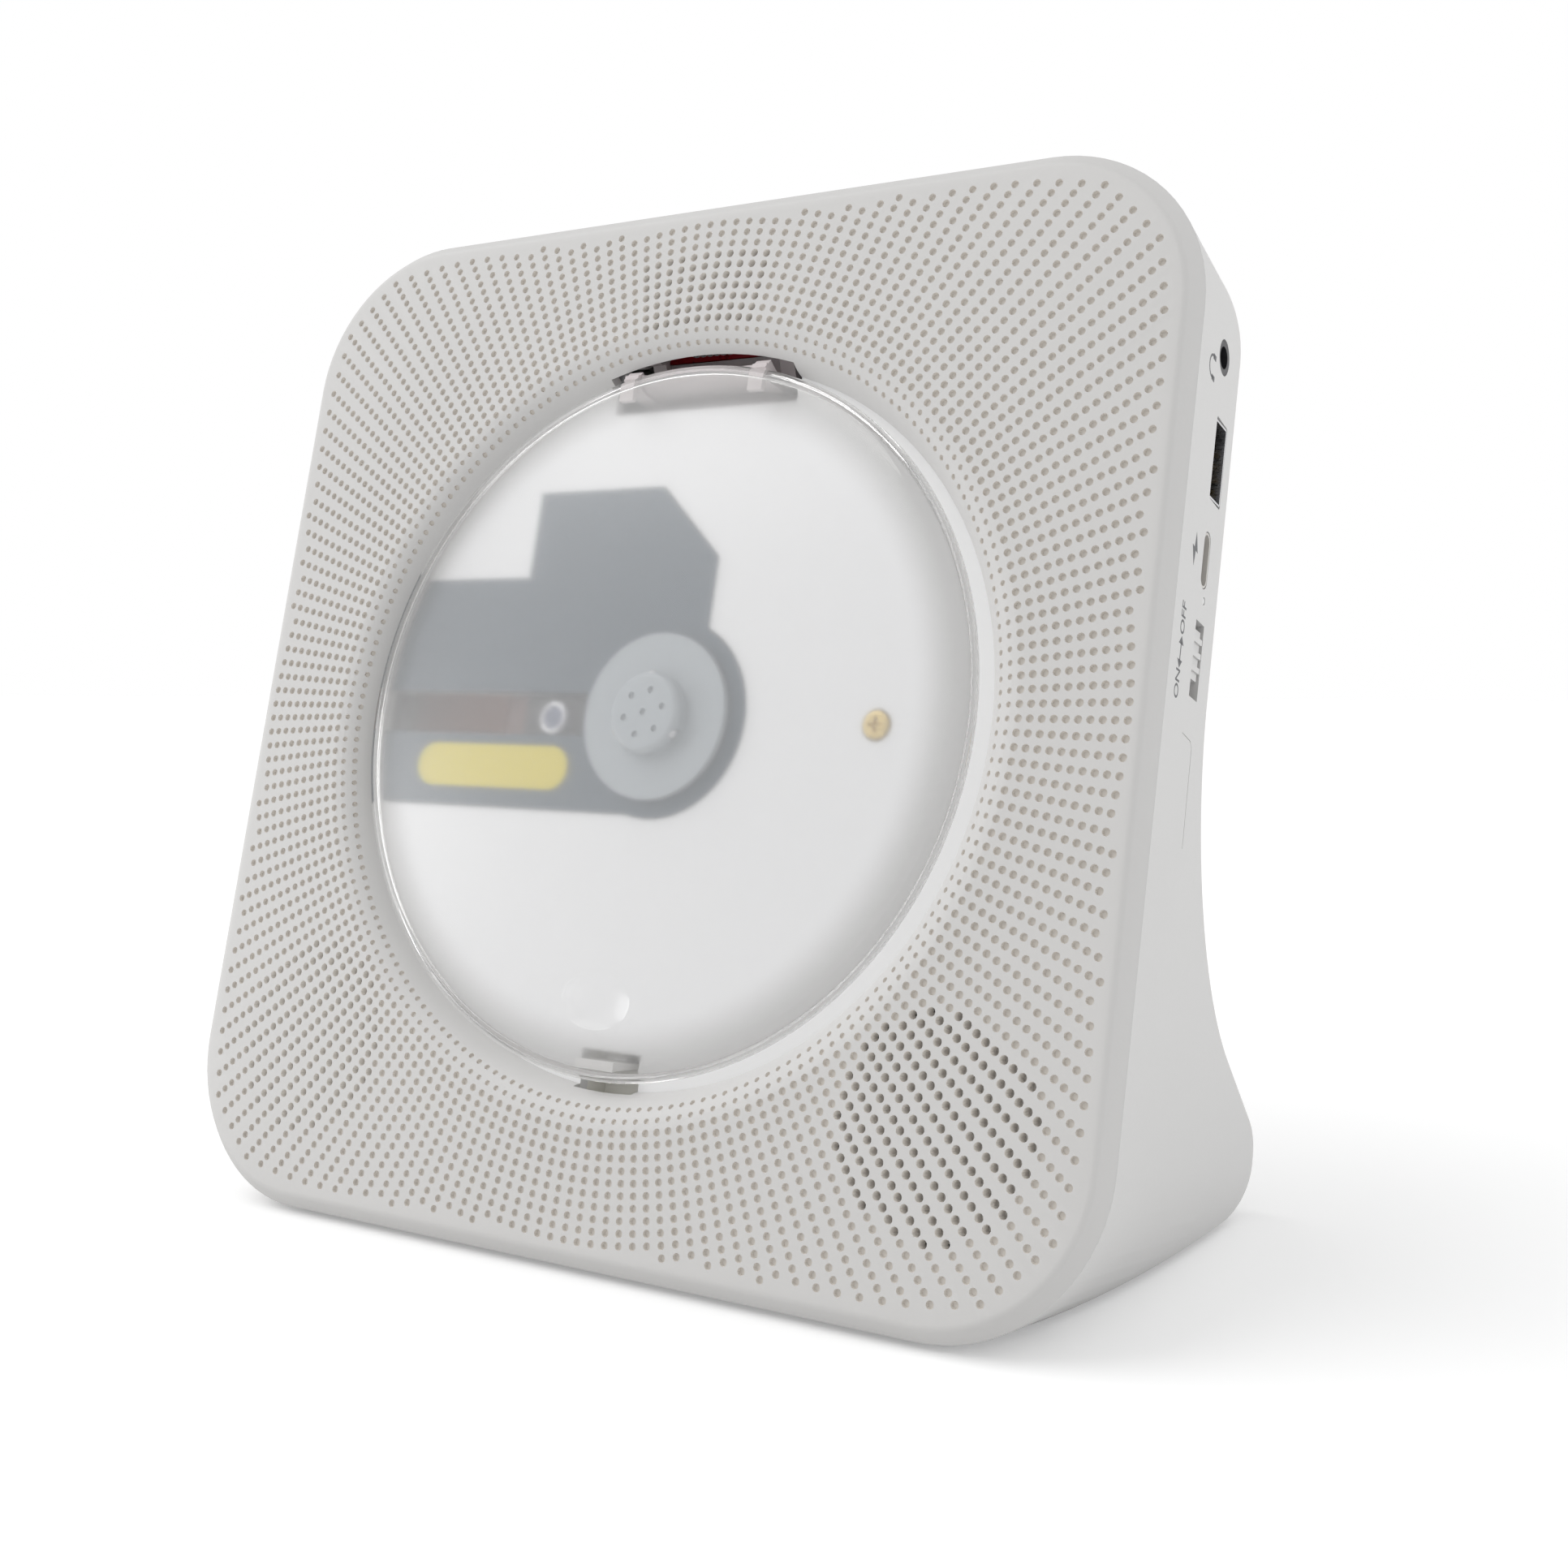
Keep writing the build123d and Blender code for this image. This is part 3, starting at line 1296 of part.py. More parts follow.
with BuildPart() as power_switch_body:
    with BuildSketch(side_plane(socket_base)):
        with Locations(travel_middle):
            Rectangle(switch_body_length, switch_body_width)
    extrude(amount=plate_inner - switch_body_gap - socket_base)
    with BuildSketch(side_plane(stem_inner - port_gap)):
        with Locations(travel_middle):
            Rectangle(knob_stem + switch_travel + 2 * port_gap, knob_stem + 2 * port_gap)
    extrude(amount=plate_inner - stem_inner, mode=Mode.SUBTRACT)
finish(power_switch_body.part, "power_switch_body")

# Buttons in the top edge, their switches and their board
switch_top = button_board_top + button_switch_height
flange_top = button_top - button_proud - wall - flange_gap
for name, place in zip(button_names, button_places):
    with BuildPart() as button:
        with BuildSketch(top_plane(flange_top)):
            with Locations(place):
                RectangleRounded(button_length, button_width, 1.2)
        extrude(amount=button_top - flange_top)
        fillet(button.edges().group_by(Axis(face.origin, face.y_dir))[-1], 0.4)
        with BuildSketch(top_plane(flange_top)):
            with Locations(place):
                Rectangle(button_length + 2 * button_flange, button_width + 2 * button_flange)
        extrude(amount=-button_flange_thickness)
        with BuildSketch(top_plane(flange_top - button_flange_thickness)):
            with Locations(place):
                Circle(button_plunger)
        extrude(amount=switch_top + button_travel + flange_gap - flange_top + button_flange_thickness)
    finish(button.part, name)

with BuildPart() as button_switches:
    with BuildSketch(top_plane(button_board_top)):
        with Locations(*button_places):
            Rectangle(button_switch_size, button_switch_size)
    extrude(amount=button_switch_height)
finish(button_switches.part, "button_switches")

with BuildPart() as button_board:
    with BuildSketch(top_plane(button_board_top)):
        with Locations((0, button_depth)):
            Rectangle(2 * button_board_half, button_board_width)
        with Locations(*button_posts):
            Circle(pilot, mode=Mode.SUBTRACT)
    extrude(amount=-board_thickness)
finish(button_board.part, "button_board")

# Main board with its parts, and the two cells in their holder, in the foot
with BuildPart() as main_board:
    with BuildSketch(Plane.XY.offset(board_z)):
        with Locations((0, main_board_y)):
            Rectangle(*main_board_size)
        with Locations(*board_post_places):
            Circle(pilot, mode=Mode.SUBTRACT)
    extrude(amount=board_thickness)
finish(main_board.part, "main_board")

with BuildPart() as main_board_chips:
    for (x, y), (length, width, height) in chip_layout:
        with BuildSketch(Plane.XY.offset(board_z + board_thickness)):
            with Locations((x, main_board_y + y)):
                Rectangle(length, width)
        extrude(amount=height)
    with BuildSketch(Plane.XY.offset(board_z + board_thickness)):
        with Locations(*[(x, main_board_y + y) for x, y in capacitor_places]):
            Circle(capacitor_radius)
    extrude(amount=capacitor_height)
finish(main_board_chips.part, "main_board_chips")

cell_z = floor_z + cell_floor + cell_radius
holder_length = 2 * cell_length + cell_gap + 2 * cell_floor
with BuildPart() as battery_holder:
    with BuildSketch(Plane.XY.offset(floor_z)):
        with Locations((0, cell_y)):
            Rectangle(holder_length, 2 * cell_radius + 2 * cell_floor)
    extrude(amount=cell_radius * 0.9)
    with BuildSketch(Plane.YZ):
        with Locations((cell_y, cell_z)):
            Circle(cell_radius + pad_gap)
    extrude(amount=holder_length / 2 - cell_floor, both=True, mode=Mode.SUBTRACT)
finish(battery_holder.part, "battery_holder")

with BuildPart() as battery_cells:
    for side in (-1, 1):
        with BuildSketch(Plane.YZ.offset(side * (cell_length + cell_gap) / 2)):
            with Locations((cell_y, cell_z)):
                Circle(cell_radius)
        extrude(amount=cell_length / 2, both=True)
finish(battery_cells.part, "battery_cells")

with BuildPart() as rubber_feet:
    with BuildSketch():
        with Locations(*pad_places):
            Circle(pad_radius)
    extrude(amount=pad_proud + pad_recess)
    chamfer(rubber_feet.edges().group_by(Axis.Z)[0], 0.4)
finish(rubber_feet.part, "rubber_feet")

side_seat = Plane(origin=side_plane(side_board_x).origin, x_dir=face.y_dir, z_dir=(-1, 0, 0))
button_seat = Plane(
    origin=top_plane(button_board_top - board_thickness).origin, x_dir=(1, 0, 0), z_dir=-face.y_dir
)
display_seat = Plane(
    origin=at_depth(display_board_depth + board_thickness).origin, x_dir=(-1, 0, 0), z_dir=-face.z_dir
)
board_screw_seats = (
    [(side_seat, (height, side_board_middle)) for height in side_post_heights]
    + [(button_seat, (x, -depth)) for x, depth in button_posts]
    + [(display_seat, (-x, y)) for x, y in display_post_places]
    + [(Plane.XY.offset(board_z + board_thickness), place) for place in board_post_places]
)
board_screws = Compound(children=[screw(seat, place, board_screw_length) for seat, place in board_screw_seats])
finish(board_screws, "board_screws")
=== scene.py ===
"""A desktop disc player with a leaning perforated front: details, finishes, marks and stage for its frame."""

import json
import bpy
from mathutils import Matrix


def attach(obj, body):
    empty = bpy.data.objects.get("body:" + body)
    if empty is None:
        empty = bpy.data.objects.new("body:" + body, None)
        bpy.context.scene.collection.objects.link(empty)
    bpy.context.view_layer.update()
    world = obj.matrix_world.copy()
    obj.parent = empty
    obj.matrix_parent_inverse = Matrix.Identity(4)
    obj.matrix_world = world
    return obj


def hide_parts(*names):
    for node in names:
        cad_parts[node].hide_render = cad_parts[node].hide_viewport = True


bl_info = {
    "name": "Desktop disc player",
    "version": (1, 0, 0),
    "blender": (4, 5, 0),
    "location": "View3D > Sidebar > Disc player",
    "description": "Perforated front, rounded housing, finishes, marks and stage of a desktop disc player",
    "category": "Add Mesh",
}

from math import asin, atan2, cos, hypot, pi, radians, sin, sqrt, tan

import bmesh
import bpy
from bpy.props import FloatProperty, FloatVectorProperty, IntProperty, PointerProperty
from mathutils import Matrix, Vector

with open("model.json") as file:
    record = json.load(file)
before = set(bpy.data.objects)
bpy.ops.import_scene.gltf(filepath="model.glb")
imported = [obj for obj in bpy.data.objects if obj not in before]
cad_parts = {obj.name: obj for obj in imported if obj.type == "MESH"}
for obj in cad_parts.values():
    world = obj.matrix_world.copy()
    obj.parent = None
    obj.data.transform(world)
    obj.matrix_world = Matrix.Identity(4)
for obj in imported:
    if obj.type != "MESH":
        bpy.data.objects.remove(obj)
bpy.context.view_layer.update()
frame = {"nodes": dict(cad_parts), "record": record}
NODES = frame["nodes"]
MM = 0.001

# The face frame: X to the right, Y up the leaning face, Z out of it, with its origin on the disc's axis.
LEAN = radians(14)
FACE = Matrix.Translation((0, -22.2386 * MM, 93.8617 * MM)) @ Matrix.Rotation(pi / 2 - LEAN, 4, "X")
FACE_INVERSE = FACE.inverted()

# The lid hinge's pin: its height on the face and its place out of it
HINGE_PIN = Vector((70.5, -7.5)) * MM

# Radius of the open holes in the frame's cover, which are closed before the finer pattern is cut
SOLID_HOLE = 0.65 * MM

# Height of the printed marks, and a capital's height against the size of its font
INK_HEIGHT = 0.015 * MM
CAPITAL_SHARE = 0.7

# The photograph's camera: its place, the directions to its right and behind it, its lens and shift
CAMERA_PLACE = (182.217 * MM, -259.49 * MM, 101.32 * MM)
CAMERA_RIGHT = (0.8800, 0.4750, 0.0046)
CAMERA_BACK = (0.4733, -0.8775, 0.0775)
CAMERA_LENS = 38.93
CAMERA_SHIFT = (-0.0830, 0.0108)

# How far the rounding tool stands outside the housing where it cuts nothing
PROUD = 0.015 * MM

# Steps of the rounding tool: round a corner, along each bend, the flare and the ground, and over the edge.
# Then the number of the profile's point at which the heel's bend starts, and of all its points.
CORNER_STEPS = 30
BEND_STEPS = 24
LINE_STEPS = 12
GROUND_STEPS = 40
ROUND_STEPS = 6
HEEL_START = CORNER_STEPS + 3 + BEND_STEPS + LINE_STEPS
PROFILE_POINTS = HEEL_START + BEND_STEPS + GROUND_STEPS + 1


class PlayerCase(bpy.types.PropertyGroup):
    """Sizes of the case's outside."""

    size: FloatProperty(name="Size", description="Side of the square case", default=189.8 * MM, unit="LENGTH")
    corner: FloatProperty(name="Corner", description="Radius of its corners", default=29 * MM, unit="LENGTH")
    seam_depth: FloatProperty(
        name="Seam", description="Depth of the front cover's seam", default=2.4 * MM, unit="LENGTH"
    )
    edge_round: FloatProperty(
        name="Front edge", description="Rounding of the chamfer's front edge", default=0.7 * MM, unit="LENGTH"
    )
    back_depth: FloatProperty(
        name="Back", description="Depth of the flat back", default=26.5 * MM, unit="LENGTH"
    )
    back_round: FloatProperty(
        name="Back edge", description="Rounding of the back's edge", default=2.0 * MM, unit="LENGTH"
    )
    taper: FloatProperty(
        name="Taper", description="Draft of the sides", default=radians(3), subtype="ANGLE"
    )
    flare_height: FloatProperty(
        name="Flare height", description="Height where the back turns out", default=-29.2 * MM, unit="LENGTH"
    )
    flare_angle: FloatProperty(
        name="Flare angle", description="Turn of the back into the foot", default=radians(63), subtype="ANGLE"
    )
    flare_radius: FloatProperty(
        name="Flare radius", description="Bend of the back into the foot", default=64 * MM, unit="LENGTH"
    )
    heel_radius: FloatProperty(
        name="Heel", description="Rounding of the foot's heel", default=11 * MM, unit="LENGTH"
    )
    groove: FloatProperty(
        name="Seam groove",
        description="Half width of the fine groove at the seam",
        default=0.13 * MM,
        unit="LENGTH",
    )


class PlayerPerforations(bpy.types.PropertyGroup):
    """Sizes of the spoked pattern of holes in the front cover."""

    spokes: IntProperty(name="Spokes", description="Rows of holes round the disc's axis", default=200, min=24)
    rings: IntProperty(name="Rings", description="Holes in a full row", default=25, min=1)
    first_ring: FloatProperty(
        name="First ring", description="Radius of the innermost ring", default=68.308 * MM, unit="LENGTH"
    )
    ring_step: FloatProperty(
        name="Ring step", description="Distance between rings", default=2 * MM, unit="LENGTH"
    )
    radius: FloatProperty(name="Hole", description="Radius of a hole", default=0.76 * MM, unit="LENGTH")
    small_share: FloatProperty(
        name="Small share", description="Size of the two inner rings' holes against the rest", default=0.74
    )
    small_rings: IntProperty(name="Small rings", description="Rings of small holes on the roll", default=2)
    pit_depth: FloatProperty(
        name="Pit depth", description="Depth of the holes that end blind", default=0.62 * MM, unit="LENGTH"
    )
    pit_floor: FloatProperty(
        name="Pit floor", description="Floor of a pit against its mouth", default=0.72
    )
    bore_end: FloatProperty(
        name="Bore end",
        description="Where the screws' bores behind the pits end",
        default=1.35 * MM,
        unit="LENGTH",
    )
    edge_margin: FloatProperty(
        name="Edge margin", description="Plain band inside the chamfer", default=4.4 * MM, unit="LENGTH"
    )
    display_spokes: IntProperty(
        name="Display spokes", description="Open rows on each side of the middle, over the display", default=5
    )
    display_rings: IntProperty(name="Display rings", description="Open rings over the display", default=7)
    speaker_x: FloatProperty(
        name="Speaker X", description="Speaker's distance from the middle", default=66 * MM, unit="LENGTH"
    )
    speaker_y: FloatProperty(
        name="Speaker Y", description="Speaker's height on the face", default=-63 * MM, unit="LENGTH"
    )
    speaker_span: FloatProperty(
        name="Speaker span",
        description="Radius of the open holes over a speaker",
        default=17.4 * MM,
        unit="LENGTH",
    )
    roll_centre: FloatProperty(
        name="Roll centre",
        description="Radius at which the well's edge starts to roll",
        default=72.5 * MM,
        unit="LENGTH",
    )
    roll_radius: FloatProperty(
        name="Roll", description="Radius of the well's rolled edge", default=7.3 * MM, unit="LENGTH"
    )


class PlayerLid(bpy.types.PropertyGroup):
    """Sizes of the hinged lid over the disc well."""

    radius: FloatProperty(name="Radius", description="Radius of the lid", default=64 * MM, unit="LENGTH")
    crown: FloatProperty(
        name="Crown", description="Height of its middle over the face", default=2 * MM, unit="LENGTH"
    )
    dome: FloatProperty(
        name="Dome", description="Radius of its shallow dome", default=1250 * MM, unit="LENGTH"
    )
    wall: FloatProperty(name="Wall", description="Thickness", default=1.6 * MM, unit="LENGTH")
    shoulder: FloatProperty(
        name="Shoulder", description="Rounding between dome and rim", default=3 * MM, unit="LENGTH"
    )
    rim: FloatProperty(name="Rim", description="Depth of the rim's foot", default=2.8 * MM, unit="LENGTH")
    frosted: FloatProperty(
        name="Frosted", description="Radius where the frosting ends", default=60.6 * MM, unit="LENGTH"
    )
    dimple_place: FloatProperty(
        name="Dimple place", description="Height of the finger dimple", default=-50.5 * MM, unit="LENGTH"
    )
    dimple_length: FloatProperty(
        name="Dimple length", description="Length of the finger dimple", default=14.8 * MM, unit="LENGTH"
    )
    dimple_width: FloatProperty(
        name="Dimple width", description="Width of the finger dimple", default=10 * MM, unit="LENGTH"
    )
    dimple_depth: FloatProperty(
        name="Dimple depth", description="Depth of the finger dimple", default=0.95 * MM, unit="LENGTH"
    )


class PlayerColours(bpy.types.PropertyGroup):
    """Colours of the finishes."""

    case: FloatVectorProperty(
        name="Case", description="Warm off-white moulding", default=(0.62, 0.613, 0.604), subtype="COLOR"
    )
    # The pits' walls get their own warm tone, set to stand for the shade inside deeper pits: a tint and painted
    # shade
    pit: FloatVectorProperty(
        name="Pits", description="Inside of the perforations", default=(0.70, 0.668, 0.625), subtype="COLOR"
    )
    deck: FloatVectorProperty(
        name="Deck", description="Floor of the disc well", default=(0.785, 0.785, 0.785), subtype="COLOR"
    )
    lid: FloatVectorProperty(
        name="Lid", description="Frosted middle of the lid", default=(0.91, 0.91, 0.915), subtype="COLOR"
    )
    # The clear ring's colour is darker than the frosted middle: partly the clear rim, partly painted shade of
    # the well beneath it
    lid_clear_rim_shade: FloatVectorProperty(
        name="Clear rim", description="Polished ring of the lid", default=(0.66, 0.655, 0.65), subtype="COLOR"
    )
    hinge: FloatVectorProperty(
        name="Hinge",
        description="Milky plastic of the lid's hinge and hook",
        default=(0.72, 0.66, 0.665),
        subtype="COLOR",
    )
    cover_plate: FloatVectorProperty(
        name="Mechanism cover",
        description="Grey plate round the hub",
        default=(0.032, 0.058, 0.082),
        subtype="COLOR",
    )
    platter: FloatVectorProperty(
        name="Turntable", description="Turntable and hub", default=(0.34, 0.37, 0.39), subtype="COLOR"
    )
    dark: FloatVectorProperty(
        name="Dark mouldings",
        description="Sled, frames and sockets",
        default=(0.022, 0.022, 0.025),
        subtype="COLOR",
    )
    label: FloatVectorProperty(
        name="Label", description="Blank yellow label film", default=(0.61, 0.495, 0.0), subtype="COLOR"
    )
    ink: FloatVectorProperty(
        name="Marks", description="Printed marks", default=(0.13, 0.13, 0.135), subtype="COLOR"
    )


class PlayerStage(bpy.types.PropertyGroup):
    """Light and floor."""

    key: FloatProperty(
        name="Key", description="Strength of the broad light from the upper left", default=1.12
    )
    key_spread: FloatProperty(
        name="Key spread",
        description="How wide the key light stands in the sky",
        default=radians(50),
        subtype="ANGLE",
    )
    fill: FloatProperty(
        name="Fill", description="Power of the low lamp on the right", default=5.5, unit="POWER"
    )
    side: FloatProperty(
        name="Side", description="Power of the near lamp on the left", default=0.6, unit="POWER"
    )
    sky: FloatProperty(name="Sky", description="Strength of the even light all round", default=0.63)
    floor: FloatVectorProperty(
        name="Floor", description="Colour of the floor", default=(0.86, 0.86, 0.86), subtype="COLOR"
    )
    glow: FloatProperty(
        name="Floor glow", description="What lifts the floor to white before the camera", default=0.24
    )


class PlayerSettings(bpy.types.PropertyGroup):
    """All sizes and colours of the player."""

    case: PointerProperty(type=PlayerCase)
    holes: PointerProperty(type=PlayerPerforations)
    lid: PointerProperty(type=PlayerLid)
    colours: PointerProperty(type=PlayerColours)
    stage: PointerProperty(type=PlayerStage)


# Node trees


class Graph:
    """Adds nodes to a tree and feeds their sockets from other sockets or plain values."""

    def __init__(self, tree):
        self.tree = tree

    def feed(self, socket, value):
        """Link a socket to another, or set it to a plain value."""
        if isinstance(value, bpy.types.NodeSocket):
            self.tree.links.new(value, socket)
        else:
            socket.default_value = value

    def node(self, kind, inputs=None, **settings):
        """A node with its settings made before its inputs are fed, by name or number."""
        made = self.tree.nodes.new(kind)
        for name, value in settings.items():
            setattr(made, name, value)
        for key, value in (inputs or {}).items():
            self.feed(made.inputs[key], value)
        return made

    def math(self, operation, first, second=0.0):
        return self.node("ShaderNodeMath", {0: first, 1: second}, operation=operation).outputs[0]

    def add(self, first, second):
        return self.math("ADD", first, second)

    def less(self, first, second):
        return self.math("SUBTRACT", first, second)

    def times(self, first, second):
        return self.math("MULTIPLY", first, second)

    def over(self, first, second):
        return self.math("DIVIDE", first, second)

    def distance(self, first, second):
        """Length of a line from its reach along two square directions."""
        return self.math("SQRT", self.add(self.times(first, first), self.times(second, second)))

    def vector(self, x, y, z):
        return self.node("ShaderNodeCombineXYZ", {0: x, 1: y, 2: z}).outputs[0]

    def place(self):
        """The surface's own coordinates."""
        return self.node("ShaderNodeTexCoord").outputs["Object"]

    def noise(self, place, scale, detail):
        return self.node("ShaderNodeTexNoise", {"Vector": place, "Scale": scale, "Detail": detail}).outputs[0]

    def bump(self, height, strength, distance):
        inputs = {"Height": height, "Strength": strength, "Distance": distance}
        return self.node("ShaderNodeBump", inputs).outputs[0]

    def fade(self, value, start, end, high=1.0):
        """A smooth fall from a high value at the start to nothing at the end."""
        inputs = {"Value": value, "From Min": start, "From Max": end, "To Min": high, "To Max": 0.0}
        return self.node("ShaderNodeMapRange", inputs, interpolation_type="SMOOTHSTEP").outputs[0]

    def mix(self, share, first, second):
        """A colour between a first and a second."""
        inputs = {0: share, 6: (*first, 1.0), 7: (*second, 1.0)}
        return self.node("ShaderNodeMix", inputs, data_type="RGBA").outputs[2]


def new_group(name, kind, sockets, results):
    """An empty node group with named inputs (name, type, default) and outputs (name, type)."""
    tree = bpy.data.node_groups.new(name, kind)
    for label, socket_type, value in sockets:
        socket = tree.interface.new_socket(label, in_out="INPUT", socket_type=socket_type)
        if value is not None:
            socket.default_value = value
    for label, socket_type in results:
        tree.interface.new_socket(label, in_out="OUTPUT", socket_type=socket_type)
    graph = Graph(tree)
    return tree, graph, tree.nodes.new("NodeGroupInput").outputs, tree.nodes.new("NodeGroupOutput").inputs


def finish_tree(graph, instances, finish, result):
    """End a geometry tree with real geometry that has its finish."""
    solid = graph.node("GeometryNodeRealizeInstances", {0: instances}).outputs[0]
    painted = graph.node("GeometryNodeSetMaterial", {"Geometry": solid, "Material": finish})
    graph.feed(result, painted.outputs[0])


def perforation_tree():
    """Cutters for the front cover: blind pits everywhere, open holes before the display and the speakers."""
    real, whole = "NodeSocketFloat", "NodeSocketInt"
    tree, g, given, result = new_group(
        "perforation_cutters",
        "GeometryNodeTree",
        [
            ("Spokes", whole, 200),
            ("Rings", whole, 25),
            ("First ring", real, 0.0),
            ("Ring step", real, 0.0),
            ("Radius", real, 0.0),
            ("Small share", real, 1.0),
            ("Small rings", whole, 2),
            ("Pit depth", real, 0.0),
            ("Pit floor", real, 1.0),
            ("Open depth", real, 0.0),
            ("Half width", real, 0.0),
            ("Corner", real, 0.0),
            ("Roll centre", real, 0.0),
            ("Roll radius", real, 1.0),
            ("Display spokes", whole, 5),
            ("Display rings", whole, 7),
            ("Speaker X", real, 0.0),
            ("Speaker Y", real, 0.0),
            ("Speaker span", real, 0.0),
            ("Proud", real, 0.0003),
            ("Sides", whole, 10),
            ("Finish", "NodeSocketMaterial", None),
        ],
        [("Geometry", "NodeSocketGeometry")],
    )
    index = g.add(g.node("GeometryNodeInputIndex").outputs[0], 0.5)
    spoke = g.math("FLOOR", g.over(index, given["Rings"]))
    ring = g.math("FLOOR", g.less(index, g.times(spoke, given["Rings"])))
    radius = g.add(given["First ring"], g.times(ring, given["Ring step"]))
    angle = g.over(g.times(spoke, 2 * pi), given["Spokes"])
    x = g.times(radius, g.math("COSINE", angle))
    y = g.times(radius, g.math("SINE", angle))
    across, up = g.math("ABSOLUTE", x), g.math("ABSOLUTE", y)
    straight = g.less(given["Half width"], given["Corner"])
    past_x = g.math("MAXIMUM", g.less(across, straight), 0.0)
    past_y = g.math("MAXIMUM", g.less(up, straight), 0.0)
    in_corner = g.math("LESS_THAN", g.distance(past_x, past_y), given["Corner"])
    in_square = g.math("LESS_THAN", g.math("MAXIMUM", across, up), given["Half width"])
    wanted = g.times(in_corner, in_square)

    inset = g.math("MAXIMUM", g.less(given["Roll centre"], radius), 0.0)
    roll = given["Roll radius"]
    drop = g.less(roll, g.math("SQRT", g.less(g.times(roll, roll), g.times(inset, inset))))
    tilt = g.math("ARCSINE", g.over(inset, roll))

    small = g.math("LESS_THAN", ring, given["Small rings"])
    full = g.less(1.0, small)
    off_middle = g.math("ABSOLUTE", g.less(spoke, g.times(given["Spokes"], 0.25)))
    near_middle = g.math("LESS_THAN", off_middle, g.add(given["Display spokes"], 0.5))
    low_ring = g.math("LESS_THAN", ring, g.add(given["Small rings"], given["Display rings"]))
    display = g.times(near_middle, low_ring)
    to_x = g.less(across, given["Speaker X"])
    to_y = g.less(y, given["Speaker Y"])
    speaker = g.math("LESS_THAN", g.distance(to_x, to_y), given["Speaker span"])
    is_open = g.times(g.math("MAXIMUM", display, speaker), full)
    blind = g.less(1.0, is_open)

    place = g.vector(x, y, g.times(drop, -1.0))
    count = g.times(given["Spokes"], given["Rings"])
    points = g.node("GeometryNodePoints", {"Count": count, "Position": place}).outputs[0]
    turn = g.vector(0.0, g.times(tilt, -1.0), angle)
    share = g.add(full, g.times(small, given["Small share"]))
    size = g.vector(share, share, share)
    both = g.node("GeometryNodeJoinGeometry")
    kinds = ((blind, given["Pit floor"], given["Pit depth"]), (is_open, 1.0, given["Open depth"]))
    for chosen, floor_share, depth in kinds:
        cone = g.node(
            "GeometryNodeMeshCone",
            {
                "Vertices": given["Sides"],
                "Radius Top": given["Radius"],
                "Radius Bottom": g.times(given["Radius"], floor_share),
                "Depth": g.add(depth, given["Proud"]),
            },
        ).outputs["Mesh"]
        down = g.vector(0.0, 0.0, g.times(depth, -1.0))
        sunk = g.node("GeometryNodeTransform", {"Geometry": cone, "Translation": down}).outputs[0]
        placed = g.node(
            "GeometryNodeInstanceOnPoints",
            {
                "Points": points,
                "Selection": g.math("GREATER_THAN", g.times(wanted, chosen), 0.5),
                "Instance": sunk,
                "Rotation": turn,
                "Scale": size,
            },
        ).outputs[0]
        g.tree.links.new(placed, both.inputs[0])
    finish_tree(g, both.outputs[0], given["Finish"], result[0])
    return tree


def recess_tree():
    """Cutters on the points of a mesh: a round bore where its radius is given, or else a screw's cross."""
    real = "NodeSocketFloat"
    tree, g, given, result = new_group(
        "recess_cutters",
        "GeometryNodeTree",
        [
            ("Geometry", "NodeSocketGeometry", None),
            ("Length", real, 0.0),
            ("Width", real, 0.0),
            ("Depth", real, 0.0),
            ("Bore radius", real, 0.0),
            ("Sides", "NodeSocketInt", 16),
            ("Finish", "NodeSocketMaterial", None),
        ],
        [("Geometry", "NodeSocketGeometry")],
    )
    deep = g.times(given["Depth"], 2.0)
    arms = []
    for first, second in (("Length", "Width"), ("Width", "Length")):
        size = g.vector(given[first], given[second], deep)
        arms.append(g.node("GeometryNodeMeshCube", {"Size": size}).outputs["Mesh"])
    cross = g.node("GeometryNodeMeshBoolean", operation="UNION", solver="EXACT")
    for arm in arms:
        g.tree.links.new(arm, cross.inputs["Mesh 2"])
    round_shape = {"Vertices": given["Sides"], "Radius": given["Bore radius"], "Depth": deep}
    bore = g.node("GeometryNodeMeshCylinder", round_shape).outputs["Mesh"]
    chosen = g.node("GeometryNodeSwitch", input_type="GEOMETRY")
    g.feed(chosen.inputs[0], g.math("GREATER_THAN", given["Bore radius"], 0.0))
    g.feed(chosen.inputs[1], cross.outputs[0])
    g.feed(chosen.inputs[2], bore)
    spread = {"Points": given["Geometry"], "Instance": chosen.outputs[0]}
    placed = g.node("GeometryNodeInstanceOnPoints", spread).outputs[0]
    finish_tree(g, placed, given["Finish"], result[0])
    return tree


